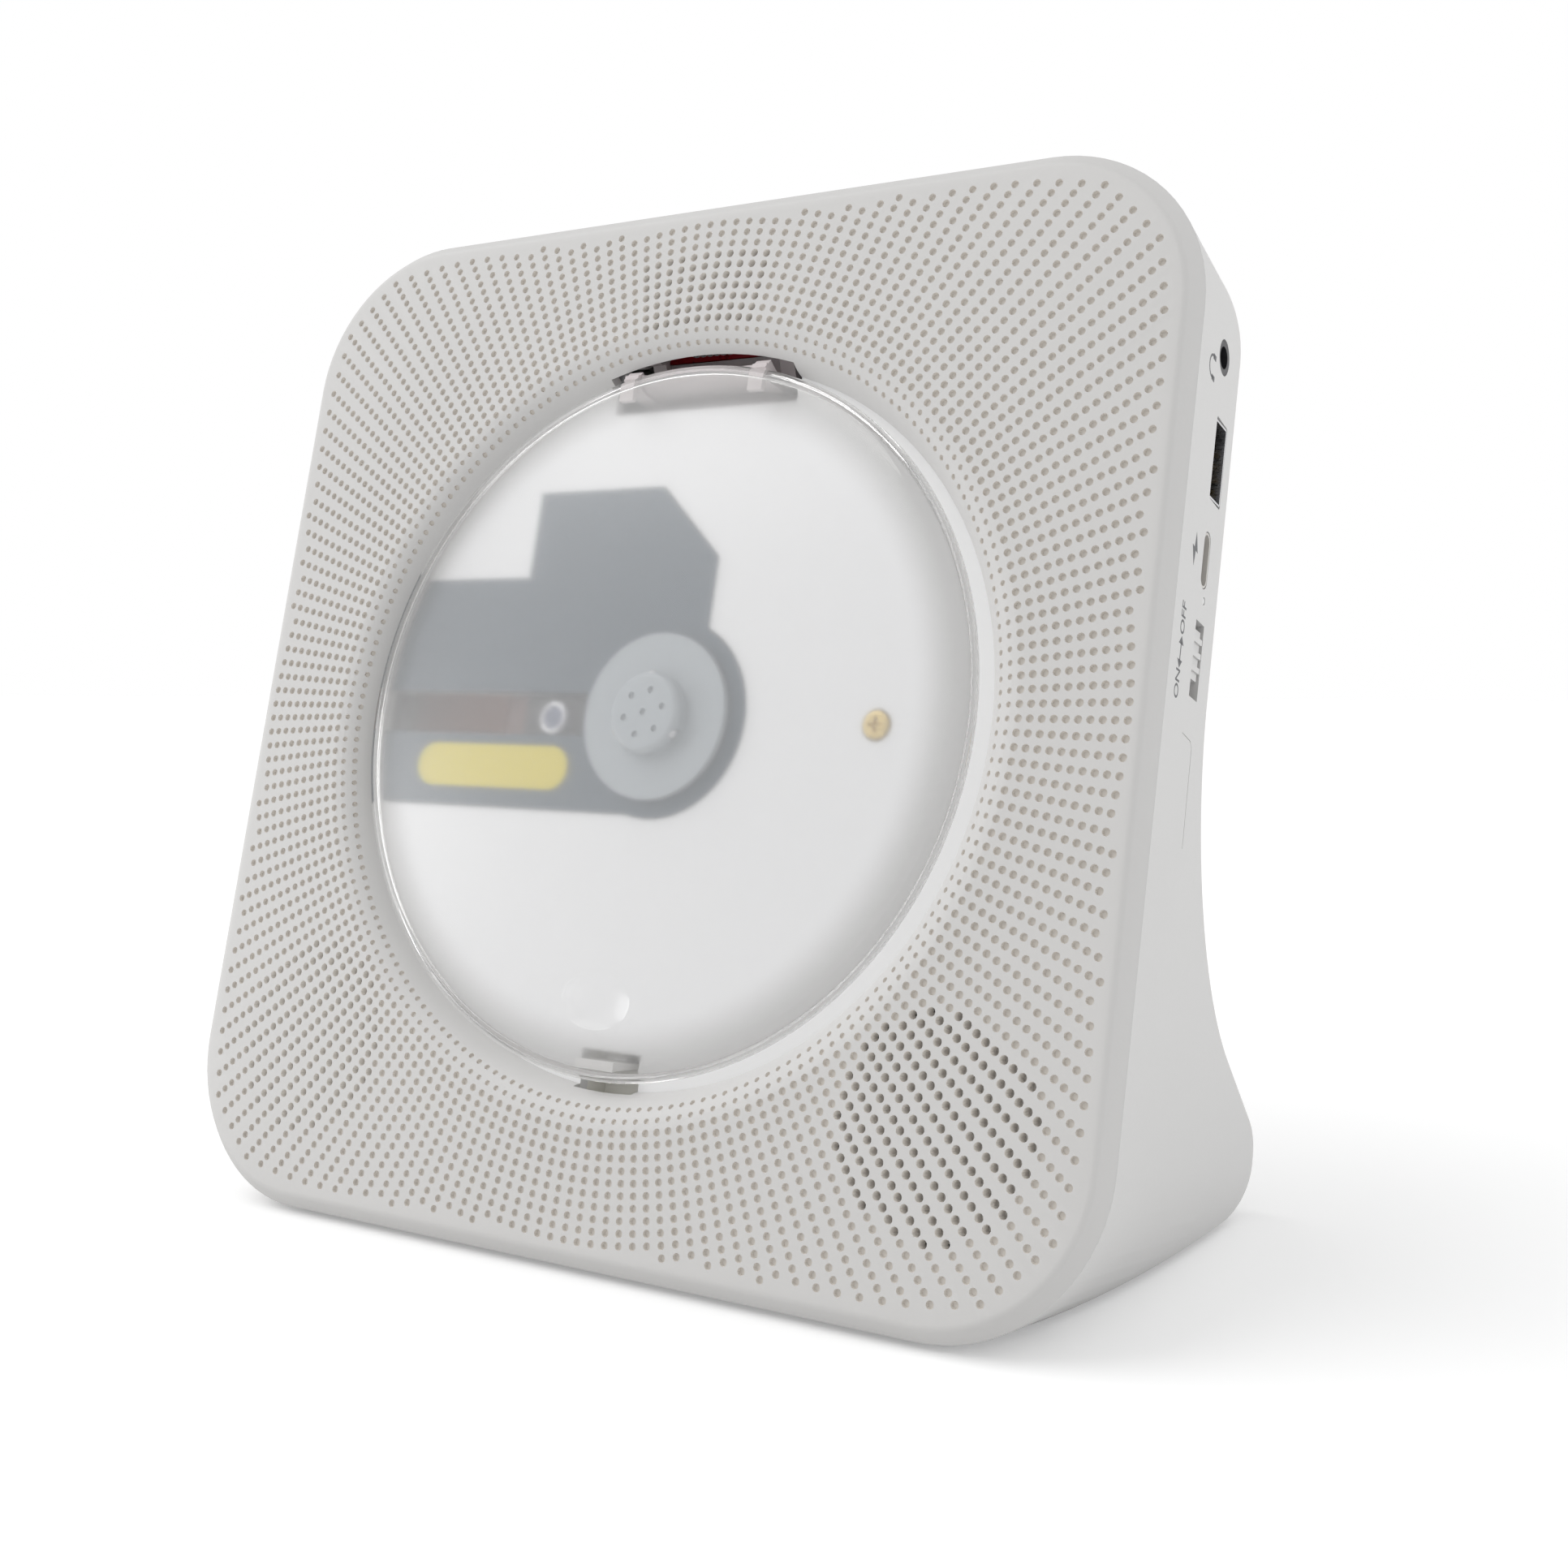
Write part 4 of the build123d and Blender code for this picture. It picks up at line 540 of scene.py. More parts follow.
def moulded_group():
    """Colour, roughness and normal of a moulded surface: spark-eroded grain, faint flow mottling."""
    tree, g, given, result = new_group(
        "moulded_surface",
        "ShaderNodeTree",
        [
            ("Color", "NodeSocketColor", (0.8, 0.8, 0.8, 1.0)),
            ("Roughness", "NodeSocketFloat", 0.5),
            ("Grain", "NodeSocketFloat", 2600.0),
            ("Height", "NodeSocketFloat", 0.25),
            ("Mottle", "NodeSocketFloat", 0.03),
        ],
        [("Color", "NodeSocketColor"), ("Roughness", "NodeSocketFloat"), ("Normal", "NodeSocketVector")],
    )
    place = g.place()
    grain = g.noise(place, given["Grain"], detail=2.0)
    flow = g.noise(place, scale=38.0, detail=3.0)
    specks = g.noise(place, scale=900.0, detail=1.0)
    uneven = g.add(g.less(flow, 0.5), g.times(g.less(specks, 0.5), 0.5))
    tone = g.add(1.0, g.times(uneven, given["Mottle"]))
    level = g.vector(tone, tone, tone)
    shade = g.node("ShaderNodeVectorMath", {0: given["Color"], 1: level}, operation="MULTIPLY").outputs[0]
    g.feed(result["Color"], shade)
    g.feed(result["Roughness"], g.add(given["Roughness"], g.times(g.less(grain, 0.5), 0.16)))
    g.feed(result["Normal"], g.bump(grain, given["Height"], 0.04 * MM))
    return tree


def axis_group():
    """Place on the face at a point of the surface: right, up and away from the disc's axis, in metres."""
    tree, g, _, result = new_group(
        "disc_axis_place",
        "ShaderNodeTree",
        [],
        [(label, "NodeSocketFloat") for label in ("Right", "Up", "Radius")],
    )
    off = g.node("ShaderNodeVectorMath", {0: g.place(), 1: FACE.translation}, operation="SUBTRACT").outputs[0]
    turn = FACE.to_3x3()
    parts = []
    for label, axis in (("Right", turn.col[0]), ("Up", turn.col[1])):
        part = g.node("ShaderNodeVectorMath", {0: off, 1: axis}, operation="DOT_PRODUCT").outputs["Value"]
        g.feed(result[label], part)
        parts.append(part)
    g.feed(result["Radius"], g.distance(parts[0], parts[1]))
    return tree


# Finishes


def new_material(name):
    """An empty material, its graph and its shader."""
    material = bpy.data.materials.new(name)
    material.use_nodes = True
    graph = Graph(material.node_tree)
    return material, graph, material.node_tree.nodes["Principled BSDF"]


def group_node(graph, name, inputs):
    """A node of one of the file's own groups."""
    made = graph.node("ShaderNodeGroup")
    made.node_tree = bpy.data.node_groups[name]
    for key, value in inputs.items():
        graph.feed(made.inputs[key], value)
    return made.outputs


def moulded(name, colour, roughness, grain, height, mottle, coat=0.0):
    """A moulded or coated surface: its roughness, the scale and height of its grain, and its mottling."""
    material, graph, shader = new_material(name)
    surface = group_node(
        graph,
        "moulded_surface",
        {"Color": (*colour, 1.0), "Roughness": roughness, "Grain": grain, "Height": height, "Mottle": mottle},
    )
    graph.feed(shader.inputs["Base Color"], surface["Color"])
    graph.feed(shader.inputs["Roughness"], surface["Roughness"])
    graph.feed(shader.inputs["Normal"], surface["Normal"])
    shader.inputs["Coat Weight"].default_value = coat
    return material


def drawn_metal(name, colour, roughness):
    """Bright metal with fine drawing lines along one direction."""
    material, graph, shader = new_material(name)
    drawn = {"Vector": graph.place(), "Scale": (900.0, 5200.0, 5200.0)}
    lines = graph.noise(graph.node("ShaderNodeMapping", drawn).outputs[0], scale=1.0, detail=2.0)
    shader.inputs["Base Color"].default_value = (*colour, 1.0)
    shader.inputs["Metallic"].default_value = 1.0
    graph.feed(shader.inputs["Roughness"], graph.add(roughness, graph.times(graph.less(lines, 0.5), 0.25)))
    graph.feed(shader.inputs["Normal"], graph.bump(lines, 0.12, 0.02 * MM))
    return material


def frosted_lid(frosted, clear, lid):
    """Clear plastic, frosted over the lid's middle and polished towards its rim and on the dimple's edge. Its
    colour greys from the frosted middle into the darker clear rim over a wider band than the frosting: partly
    the clear rim, partly painted shade of the well beneath it.
    """
    material, graph, shader = new_material("frosted_lid")
    axis = group_node(graph, "disc_axis_place", {})
    blend, painted_shade_width = 1.3 * MM, 7.5 * MM
    frost = graph.fade(axis["Radius"], lid.frosted - blend, lid.frosted + blend)
    aside = graph.over(axis["Right"], lid.dimple_length / 2)
    along = graph.over(graph.less(axis["Up"], lid.dimple_place), lid.dimple_width / 2)
    off_edge = graph.math("ABSOLUTE", graph.less(graph.distance(aside, along), 1.0))
    polished = graph.fade(off_edge, 0.02, 0.07, high=0.75)
    frost = graph.times(frost, graph.less(1.0, polished))
    # The share of the frosted tone falls towards the rim: painted shade of the well beneath the lid's rim
    pale = graph.fade(axis["Radius"], lid.frosted - painted_shade_width, lid.frosted + blend)
    graph.feed(shader.inputs["Base Color"], graph.mix(pale, clear, frosted))
    graph.feed(shader.inputs["Roughness"], graph.add(0.03, graph.times(frost, 0.2)))
    shader.inputs["Transmission Weight"].default_value = 0.89
    shader.inputs["IOR"].default_value = 1.45
    return material


def hazy_plastic(name, colour, transmission, roughness):
    """Milky plastic that lets some light through."""
    material, _, shader = new_material(name)
    shader.inputs["Base Color"].default_value = (*colour, 1.0)
    shader.inputs["Roughness"].default_value = roughness
    shader.inputs["Transmission Weight"].default_value = transmission
    shader.inputs["IOR"].default_value = 1.3
    return material


def coated_lens():
    """Moulded glass lens with a violet coating, its colour paling from deep blue towards grazing angles: a
    painted sheen.
    """
    material, graph, shader = new_material("coated_lens")
    # Facing drives the base colour: painted sheen, pale where the lens turns away
    rings = graph.node("ShaderNodeLayerWeight", {"Blend": 0.35}).outputs["Facing"]
    graph.feed(shader.inputs["Base Color"], graph.mix(rings, (0.05, 0.06, 0.12), (0.55, 0.6, 0.75)))
    shader.inputs["Metallic"].default_value = 0.6
    shader.inputs["Roughness"].default_value = 0.12
    shader.inputs["Coat Weight"].default_value = 1.0
    return material


def solder_mask(name, colour):
    """Circuit board with its copper tracks just showing under the mask."""
    material, graph, shader = new_material(name)
    cells = {"Vector": graph.place(), "Scale": 420.0}
    tracks = graph.node("ShaderNodeTexVoronoi", cells, distance="MANHATTAN", feature="F1").outputs["Distance"]
    edges = {"Value": tracks, "From Min": 0.3, "From Max": 0.34}
    copper = graph.node("ShaderNodeMapRange", edges).outputs[0]
    bright = tuple(min(1.0, 1.7 * part) for part in colour)
    graph.feed(shader.inputs["Base Color"], graph.mix(copper, colour, bright))
    graph.feed(shader.inputs["Normal"], graph.bump(copper, 0.3, 0.03 * MM))
    shader.inputs["Roughness"].default_value = 0.35
    return material


def material_of(name):
    """A finish that is already made."""
    return bpy.data.materials[name]


# Meshes


def link_piece(name, mesh, body, replaced=()):
    """A finished piece: its mesh is in the row frame, and it rides on a body of the frame."""
    piece = bpy.data.objects.new(name, mesh)
    bpy.context.scene.collection.objects.link(piece)
    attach(piece, body)
    if replaced:
        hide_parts(*replaced)
    return piece


def merged_copy(node):
    """A node's mesh with its loose triangles joined, in the face frame."""
    shell = bmesh.new()
    shell.from_mesh(NODES[node].data)
    bmesh.ops.remove_doubles(shell, verts=shell.verts, dist=0.002 * MM)
    shell.transform(FACE_INVERSE)
    return shell


def to_mesh(shell, name, material=None):
    """A plain mesh from a shell, which is freed, without the normals that a frame's node stores."""
    mesh = bpy.data.meshes.new(name)
    shell.to_mesh(mesh)
    shell.free()
    for attribute in [a for a in mesh.attributes if a.name == "custom_normal"]:
        mesh.attributes.remove(attribute)
    mesh.materials.clear()
    if material:
        mesh.materials.append(material)
    return mesh


def modified(mesh, name, kind, set_up):
    """A mesh after one modifier, as a plain mesh."""
    carrier = bpy.data.objects.new(name, mesh)
    bpy.context.scene.collection.objects.link(carrier)
    modifier = carrier.modifiers.new(name, kind)
    set_up(modifier)
    bpy.context.view_layer.update()
    evaluated = carrier.evaluated_get(bpy.context.evaluated_depsgraph_get())
    result = bpy.data.meshes.new_from_object(evaluated)
    carrier.modifiers.remove(modifier)
    bpy.data.objects.remove(carrier)
    if not result.polygons:
        raise RuntimeError(f"{name} left no faces")
    return result


def boolean(mesh, other, operation, name):
    """A solid mesh cut, joined or kept by another."""
    tool = bpy.data.objects.new(name + "_tool", other)
    bpy.context.scene.collection.objects.link(tool)

    def set_up(modifier):
        modifier.operation = operation
        modifier.solver = "MANIFOLD"
        modifier.object = tool

    result = modified(mesh, name, "BOOLEAN", set_up)
    bpy.data.objects.remove(tool)
    return result


def grown(mesh, tree, values, name):
    """The plain mesh that a geometry tree makes with these named values."""

    def set_up(modifier):
        modifier.node_group = tree
        sockets = {s.name: s.identifier for s in tree.interface.items_tree if s.in_out == "INPUT"}
        for label, value in values.items():
            modifier[sockets[label]] = value

    return modified(mesh, name, "NODES", set_up)


def smooth(mesh, angle=32):
    """Smooth shading with sharp edges beyond an angle in degrees."""
    mesh.polygons.foreach_set("use_smooth", [True] * len(mesh.polygons))
    mesh.set_sharp_from_angle(angle=radians(angle))


def rounded_square(half, corner, steps):
    """Outline of a rounded square, anticlockwise from the right side's lower end."""
    points = []
    for quarter in range(4):
        middle = Vector((half - corner, half - corner))
        for step in range(steps + 1):
            angle = pi / 2 * step / steps
            point = middle + Vector((corner * cos(angle), corner * sin(angle)))
            points.append(Matrix.Rotation(quarter * pi / 2, 2) @ point)
    return points


def lofted(rings, name, closed=False):
    """A solid through rings of equal count, capped at its ends, or closed when the last ring meets the first."""
    shell = bmesh.new()
    rows = [[shell.verts.new(point) for point in ring] for ring in rings]
    count = len(rows[0])
    for low, high in zip(rows, rows[1:] + rows[:1] if closed else rows[1:]):
        for index in range(count):
            after = (index + 1) % count
            shell.faces.new((low[index], low[after], high[after], high[index]))
    if not closed:
        shell.faces.new(reversed(rows[0]))
        shell.faces.new(rows[-1])
    bmesh.ops.recalc_face_normals(shell, faces=shell.faces)
    return to_mesh(shell, name)


def joined(parts, name, material):
    """One mesh from several, each moved to its place."""
    shell = bmesh.new()
    for mesh, place in parts:
        mesh.transform(place)
        shell.from_mesh(mesh)
        bpy.data.meshes.remove(mesh)
    return to_mesh(shell, name, material)


def box_mesh(low, high):
    """A plain box between two corners, in millimetres."""
    shell = bmesh.new()
    low, high = Vector(low) * MM, Vector(high) * MM
    size = Matrix.Diagonal((*(high - low), 1))
    bmesh.ops.create_cube(shell, size=1, matrix=Matrix.Translation((low + high) / 2) @ size)
    return to_mesh(shell, "box")


def curved_sheet(radii, turn, steps, half_width, name):
    """A sheet round the hinge's pin: its outer and inner radius in millimetres and two angles in degrees."""
    outer, inner = radii
    first, last = (radians(angle) for angle in turn)
    section = arc(HINGE_PIN, outer * MM, first, last, steps) + arc(HINGE_PIN, inner * MM, last, first, steps)
    ends = (-half_width * MM, half_width * MM)
    return lofted([[(x, point.x, point.y) for point in section] for x in ends], name)


def turned(profile, segments, name):
    """A solid turned about Z from a profile of radii and heights that starts and ends on the axis."""
    shell = bmesh.new()
    first = shell.verts.new((0, 0, profile[0][1]))
    last = shell.verts.new((0, 0, profile[-1][1]))
    rows = []
    for radius, height in profile[1:-1]:
        angles = (2 * pi * step / segments for step in range(segments))
        rows.append([shell.verts.new((radius * cos(a), radius * sin(a), height)) for a in angles])
    for index in range(segments):
        after = (index + 1) % segments
        shell.faces.new((first, rows[0][index], rows[0][after]))
        shell.faces.new((last, rows[-1][after], rows[-1][index]))
        for one, other in zip(rows, rows[1:]):
            shell.faces.new((one[index], other[index], other[after], one[after]))
    bmesh.ops.recalc_face_normals(shell, faces=shell.faces)
    return to_mesh(shell, name)


def lid_height(lid, radius, sink=0.0):
    """Height of the lid's dome, or of the dome sunk below it, at a radius."""
    return lid.crown - lid.dome + sqrt((lid.dome - sink) ** 2 - radius**2)


def lid_profile(lid):
    """The lid's section from the axis over the dome, down the rim and back under it."""
    inner = lid.radius - lid.wall
    inner_round = lid.shoulder - lid.wall
    edge = 0.3 * MM
    spread = [radius * MM for radius in (8, 16, 24, 32, 38, 43, 47, 50.5, 54, 57)]
    high = pi / 2 - asin((lid.radius - lid.shoulder) / lid.dome)
    top = lid_height(lid, lid.radius - lid.shoulder) - lid.shoulder
    under = lid_height(lid, inner - inner_round, lid.wall) - inner_round
    bends = (
        (lid.radius - lid.shoulder, top, lid.shoulder, high, 0, 16),
        (lid.radius - edge, edge - lid.rim, edge, 0, -pi / 2, 8),
        (inner + edge, edge - lid.rim, edge, -pi / 2, -pi, 8),
        (inner - inner_round, under, inner_round, 0, high, 14),
    )
    points = [(radius, lid_height(lid, radius)) for radius in (0.0, *spread)]
    for across, up, radius, first, last, steps in bends:
        points += [tuple(point) for point in arc(Vector((across, up)), radius, first, last, steps)]
    return points + [(radius, lid_height(lid, radius, lid.wall)) for radius in (*reversed(spread), 0.0)]


def dimple_cutter(lid):
    """A flat-lying ellipsoid that presses the finger dimple."""
    shell = bmesh.new()
    bmesh.ops.create_uvsphere(shell, u_segments=96, v_segments=96, radius=1)
    tall = 3.0 * MM
    lift = tall - lid.dimple_depth
    spread = sqrt(1 - (lift / tall) ** 2)
    surface = lid_height(lid, abs(lid.dimple_place))
    lean = Matrix.Rotation(asin(abs(lid.dimple_place) / lid.dome), 4, "X")
    size = Matrix.Diagonal((lid.dimple_length / 2 / spread, lid.dimple_width / 2 / spread, tall, 1))
    place = Matrix.Translation((0, lid.dimple_place, surface)) @ lean @ Matrix.Translation((0, 0, lift))
    shell.transform(place @ size)
    return to_mesh(shell, "dimple_cutter")


def seam_cutter(case):
    """A fine band round the case at the front cover's seam."""
    sections = []
    outline = rounded_square(case.size / 2, case.corner, 20)
    for index, point in enumerate(outline):
        along = outline[(index + 1) % len(outline)] - outline[index - 1]
        outward = Vector((along.y, -along.x)).normalized() * case.groove
        sections.append(
            [
                (point.x + outward.x, point.y + outward.y, -case.seam_depth),
                (point.x, point.y, case.groove - case.seam_depth),
                (point.x - outward.x, point.y - outward.y, -case.seam_depth),
                (point.x, point.y, -case.groove - case.seam_depth),
            ]
        )
    return lofted(sections, "seam_cutter", closed=True)


def door_line_cutter(case):
    """The fine bent line below the switch, as one thin bar cut into the side."""
    middle = [Vector((1.0, -12.9)), Vector((0.6, -17.6)), Vector((-0.4, -18.6)), Vector((-16.2, -19.0))]
    half, sunk, proud = 0.1, -0.12, 0.3
    sides = []
    for aside in (half, -half):
        line = []
        for index, point in enumerate(middle):
            along = middle[min(index + 1, len(middle) - 1)] - middle[max(index - 1, 0)]
            line.append(point + Vector((-along.y, along.x)).normalized() * aside)
        sides.append(line)
    outline = sides[0] + sides[1][::-1]
    rings = [
        [(side_x(case, -place * MM) + out * MM, height * MM, place * MM) for height, place in outline]
        for out in (sunk, proud)
    ]
    return lofted(rings, "door_line_cutter")


def hole_of(point, holes):
    """The open hole of the frame's cover on whose edge a point lies, and its middle, or None."""
    spoke = round(atan2(point.y, point.x) * holes.spokes / (2 * pi))
    ring = round((hypot(point.x, point.y) - holes.first_ring) / holes.ring_step)
    if ring < holes.small_rings or point.z < -3 * MM:
        return None
    angle = spoke * 2 * pi / holes.spokes
    radius = holes.first_ring + ring * holes.ring_step
    middle = Vector((radius * cos(angle), radius * sin(angle)))
    if abs((point.xy - middle).length - SOLID_HOLE) > 0.02 * MM:
        return None
    in_front = point.z > -1.2 * MM
    return (ring, spoke % holes.spokes, in_front), middle


def close_holes(shell, holes):
    """Draw a copied cover's open holes together to points, after ending its screws' bores farther back."""
    deepest, highest, past_roll = -1.45 * MM, -0.15 * MM, holes.roll_centre + 0.1 * MM
    for vertex in shell.verts:
        if deepest < vertex.co.z < highest and vertex.co.xy.length > past_roll:
            vertex.co.z = -holes.bore_end
    groups = {}
    for vertex in shell.verts:
        found = hole_of(vertex.co, holes)
        if found:
            groups.setdefault(found[0], (found[1], []))[1].append(vertex)
    targets = {}
    for middle, vertices in groups.values():
        kept = vertices[0]
        kept.co.xy = middle
        targets.update({vertex: kept for vertex in vertices[1:]})
    bmesh.ops.weld_verts(shell, targetmap=targets)
    loose = [edge for edge in shell.edges if not edge.link_faces]
    bmesh.ops.delete(shell, geom=loose, context="EDGES")


def round_front_edge(shell, case):
    """Soften the edge between the flat face and its chamfer."""
    half = case.size / 2 - case.seam_depth
    edges = []
    for edge in shell.edges:
        flat = all(abs(vertex.co.z) < 0.01 * MM for vertex in edge.verts)
        outer = all(vertex.co.xy.length > half - 1 * MM for vertex in edge.verts)
        if flat and outer and len(edge.link_faces) == 2 and edge.calc_face_angle(0) > radians(20):
            edges.append(edge)
    rounding = {"segments": 3, "profile": 0.5, "affect": "EDGES", "clamp_overlap": False}
    bmesh.ops.bevel(shell, geom=edges, offset=case.edge_round, **rounding)


def side_x(case, depth):
    """Half width of the case's outside at a depth behind the face."""
    return case.size / 2 - (depth - case.seam_depth) * tan(case.taper)


def crossing(start, direction, other, other_direction):
    """Point where two lines of one plane meet."""
    across = direction.cross(other_direction)
    return start + direction * ((other - start).cross(other_direction) / across)


def arc(middle, radius, start, end, steps):
    """Points of an arc between two angles."""
    angles = [start + (end - start) * step / steps for step in range(steps + 1)]
    return [middle + Vector((radius * cos(angle), radius * sin(angle))) for angle in angles]


def back_profile(case, inset):
    """The back seen from the side, as height and place out of the face, set in by the rounding."""
    half = case.size / 2
    line = Vector((-cos(case.flare_angle), -sin(case.flare_angle)))
    inward = Vector((-sin(case.flare_angle), cos(case.flare_angle)))
    ground = Vector((sin(LEAN), -cos(LEAN)))
    toe = Vector((-half, -case.seam_depth)) - Vector((cos(LEAN), sin(LEAN))) * PROUD
    bend = crossing(
        Vector((0, inset - case.back_depth)),
        Vector((1, 0)),
        Vector((case.flare_height, -case.back_depth)) + inward * inset,
        line,
    )
    heel = crossing(bend, line, toe, ground)
    radius = case.flare_radius + inset
    start = bend + Vector((radius * tan(case.flare_angle / 2), 0))
    level = half - case.corner
    points = [Vector((level, start.y))] * (CORNER_STEPS + 1)
    points += [Vector((start.x + (level - start.x) * (1 - step / 3), start.y)) for step in (1, 2)]
    points += arc(start - Vector((0, radius)), radius, pi / 2, pi / 2 + case.flare_angle, BEND_STEPS)
    heel_angle = pi / 2 + LEAN - case.flare_angle
    heel_radius = case.heel_radius - inset
    foot = heel - line * heel_radius / tan(heel_angle / 2)
    points += spaced(points[-1], foot, LINE_STEPS)[:-1]
    first = atan2(-inward.y, -inward.x)
    points += arc(foot + inward * heel_radius, heel_radius, first, first + heel_angle - pi, BEND_STEPS)
    return points + spaced(points[-1], toe, GROUND_STEPS)


def spaced(start, end, steps):
    """Points at even steps from a start, left out, to an end."""
    return [start + (end - start) * step / steps for step in range(1, steps + 1)]


def corner_radius(case, place, inset):
    """Radius of the case's corners at a place out of the face, set in by the rounding."""
    return case.corner + side_x(case, -place) - case.size / 2 - inset


def outline_point(case, index, height, place, inset):
    """Height and half width of the case on one line of its outside."""
    level = case.size / 2 - case.corner
    radius = corner_radius(case, place, inset)
    if index <= CORNER_STEPS:
        angle = pi / 2 * index / CORNER_STEPS
        return level + radius * cos(angle), level + radius * sin(angle)
    past = max(0.0, min(radius, abs(height) - level))
    return height, level + sqrt(radius * radius - past * past)


def rounding_column(case, angle):
    """One line over the case's back at an angle of the edge's rounding, as height, place and half width."""
    profiles = {}
    column = []
    for index in range(PROFILE_POINTS):
        share = min(1.0, max(0.0, (HEEL_START + BEND_STEPS - index) / BEND_STEPS))
        radius = case.back_round * max(share, 0.02)
        inset = radius * (1 - sin(angle)) - PROUD
        sink = radius * (1 - cos(angle)) - PROUD
        if sink not in profiles:
            profiles[sink] = back_profile(case, sink)
        height, place = profiles[sink][index]
        height, width = outline_point(case, index, height, place, inset)
        column.append((height, place, width))
    return column


def rounding_tool(case):
    """A solid just outside the housing whose back edge is rounded, fading out at the heel."""
    columns = [rounding_column(case, pi / 2 * turn / ROUND_STEPS) for turn in range(ROUND_STEPS, -1, -1)]
    front = 3 * MM
    lead = []
    for index, (height, _, _) in enumerate(columns[0]):
        height, width = outline_point(case, index, height, front, -PROUD)
        lead.append((height, front, width))
    columns.insert(0, lead)
    shell = bmesh.new()
    right = [[shell.verts.new((width, height, place)) for height, place, width in line] for line in columns]
    left = [[shell.verts.new((-width, height, place)) for height, place, width in line] for line in columns]
    for side in (right, left):
        for one, other in zip(side, side[1:]):
            for index in range(len(one) - 1):
                shell.faces.new((one[index], one[index + 1], other[index + 1], other[index]))
    for end in (0, -1):
        for one, other, across, back in zip(right, right[1:], left[1:], left):
            shell.faces.new((one[end], other[end], across[end], back[end]))
    for one, other in ((right[0], left[0]), (right[-1], left[-1])):
        for index in range(len(one) - 1):
            shell.faces.new((one[index], one[index + 1], other[index + 1], other[index]))
    bmesh.ops.recalc_face_normals(shell, faces=shell.faces)
    return to_mesh(shell, "rounding_tool")


# Marks


def inked(outlines):
    """Flat shapes from outlines in millimetres, as high as the ink."""
    shell = bmesh.new()
    for outline in outlines:
        shell.faces.new([shell.verts.new((x * MM, y * MM, 0)) for x, y in outline])
    bmesh.ops.recalc_face_normals(shell, faces=shell.faces)
    grown_faces = bmesh.ops.extrude_face_region(shell, geom=shell.faces[:])
    raised = [item for item in grown_faces["geom"] if isinstance(item, bmesh.types.BMVert)]
    bmesh.ops.translate(shell, verts=raised, vec=(0, 0, INK_HEIGHT))
    bmesh.ops.recalc_face_normals(shell, faces=shell.faces)
    return to_mesh(shell, "ink")


def lettering(words, height):
    """A word as a flat mesh, with its middle at the origin."""
    curve = bpy.data.curves.new(words, "FONT")
    curve.body = words
    curve.size = height / CAPITAL_SHARE
    curve.align_x = "CENTER"
    curve.align_y = "CENTER"
    curve.extrude = 0.01 * MM
    curve.offset = height * 0.02
    carrier = bpy.data.objects.new(words, curve)
    bpy.context.scene.collection.objects.link(carrier)
    bpy.context.view_layer.update()
    mesh = bpy.data.meshes.new_from_object(carrier.evaluated_get(bpy.context.evaluated_depsgraph_get()))
    bpy.data.objects.remove(carrier)
    return mesh


def side_frame(case, height, depth):
    """A place on the right side: X up the case, Y to the front and Z outwards."""
    lean = case.taper
    at = Matrix.Translation((side_x(case, depth), height, -depth))
    axes = Matrix(((0, sin(lean), cos(lean)), (1, 0, 0), (0, cos(lean), -sin(lean)))).to_4x4()
    return FACE @ at @ axes


def top_frame(x, height, depth):
    """A place on the top: X to the right, Y to the back and Z up the face."""
    axes = Matrix(((1, 0, 0), (0, 0, 1), (0, -1, 0))).to_4x4()
    return FACE @ Matrix.Translation((x, height, -depth)) @ axes


def band(points, width):
    """Outlines of short straight strokes along a path."""
    outlines = []
    for start, end in zip(points, points[1:]):
        along = Vector(end) - Vector(start)
        aside = Vector((-along.y, along.x)).normalized() * width / 2
        start, end = Vector(start), Vector(end)
        outlines.append([start - aside, end - aside, end + aside, start + aside])
    return outlines


def button_top(button):
    """Height of a button's top on the face."""
    return max((FACE_INVERSE @ vertex.co).y for vertex in NODES[button].data.vertices)


# Light and floor


def area_lamp(name, size, power):
    """A square lamp."""
    lamp = bpy.data.lights.new(name, "AREA")
    lamp.shape = "SQUARE"
    lamp.size = size
    lamp.energy = power
    return lamp


def floor_finish(stage):
    """A matt floor that the camera sees lifted to white, with the player's shadow on it."""
    material, graph, shader = new_material("studio_floor")
    shader.inputs["Base Color"].default_value = (*stage.floor, 1.0)
    shader.inputs["Roughness"].default_value = 0.9
    shader.inputs["Specular IOR Level"].default_value = 0.1
    path = graph.node("ShaderNodeLightPath").outputs
    seen = graph.math("MAXIMUM", path["Is Camera Ray"], path["Is Transmission Ray"])
    white = {"Color": (1, 1, 1, 1), "Strength": graph.times(seen, stage.glow)}
    glow = graph.node("ShaderNodeEmission", white).outputs[0]
    lit = graph.node("ShaderNodeAddShader", {0: shader.outputs[0], 1: glow}).outputs[0]
    graph.feed(material.node_tree.nodes["Material Output"].inputs["Surface"], lit)
    return material


def sky(strength):
    """Even light all round, white to the camera and in reflections."""
    world = bpy.data.worlds.new("studio")
    world.use_nodes = True
    graph = Graph(world.node_tree)
    path = graph.node("ShaderNodeLightPath").outputs
    seen = graph.math("MAXIMUM", path["Is Camera Ray"], path["Is Transmission Ray"])
    seen = graph.math("MAXIMUM", seen, graph.times(path["Is Glossy Ray"], 0.9))
    level = graph.add(graph.times(seen, 1 - strength), strength)
    background = world.node_tree.nodes["Background"]
    background.inputs["Color"].default_value = (1, 1, 1, 1)
    graph.feed(background.inputs["Strength"], level)
    bpy.context.scene.world = world


# Operators


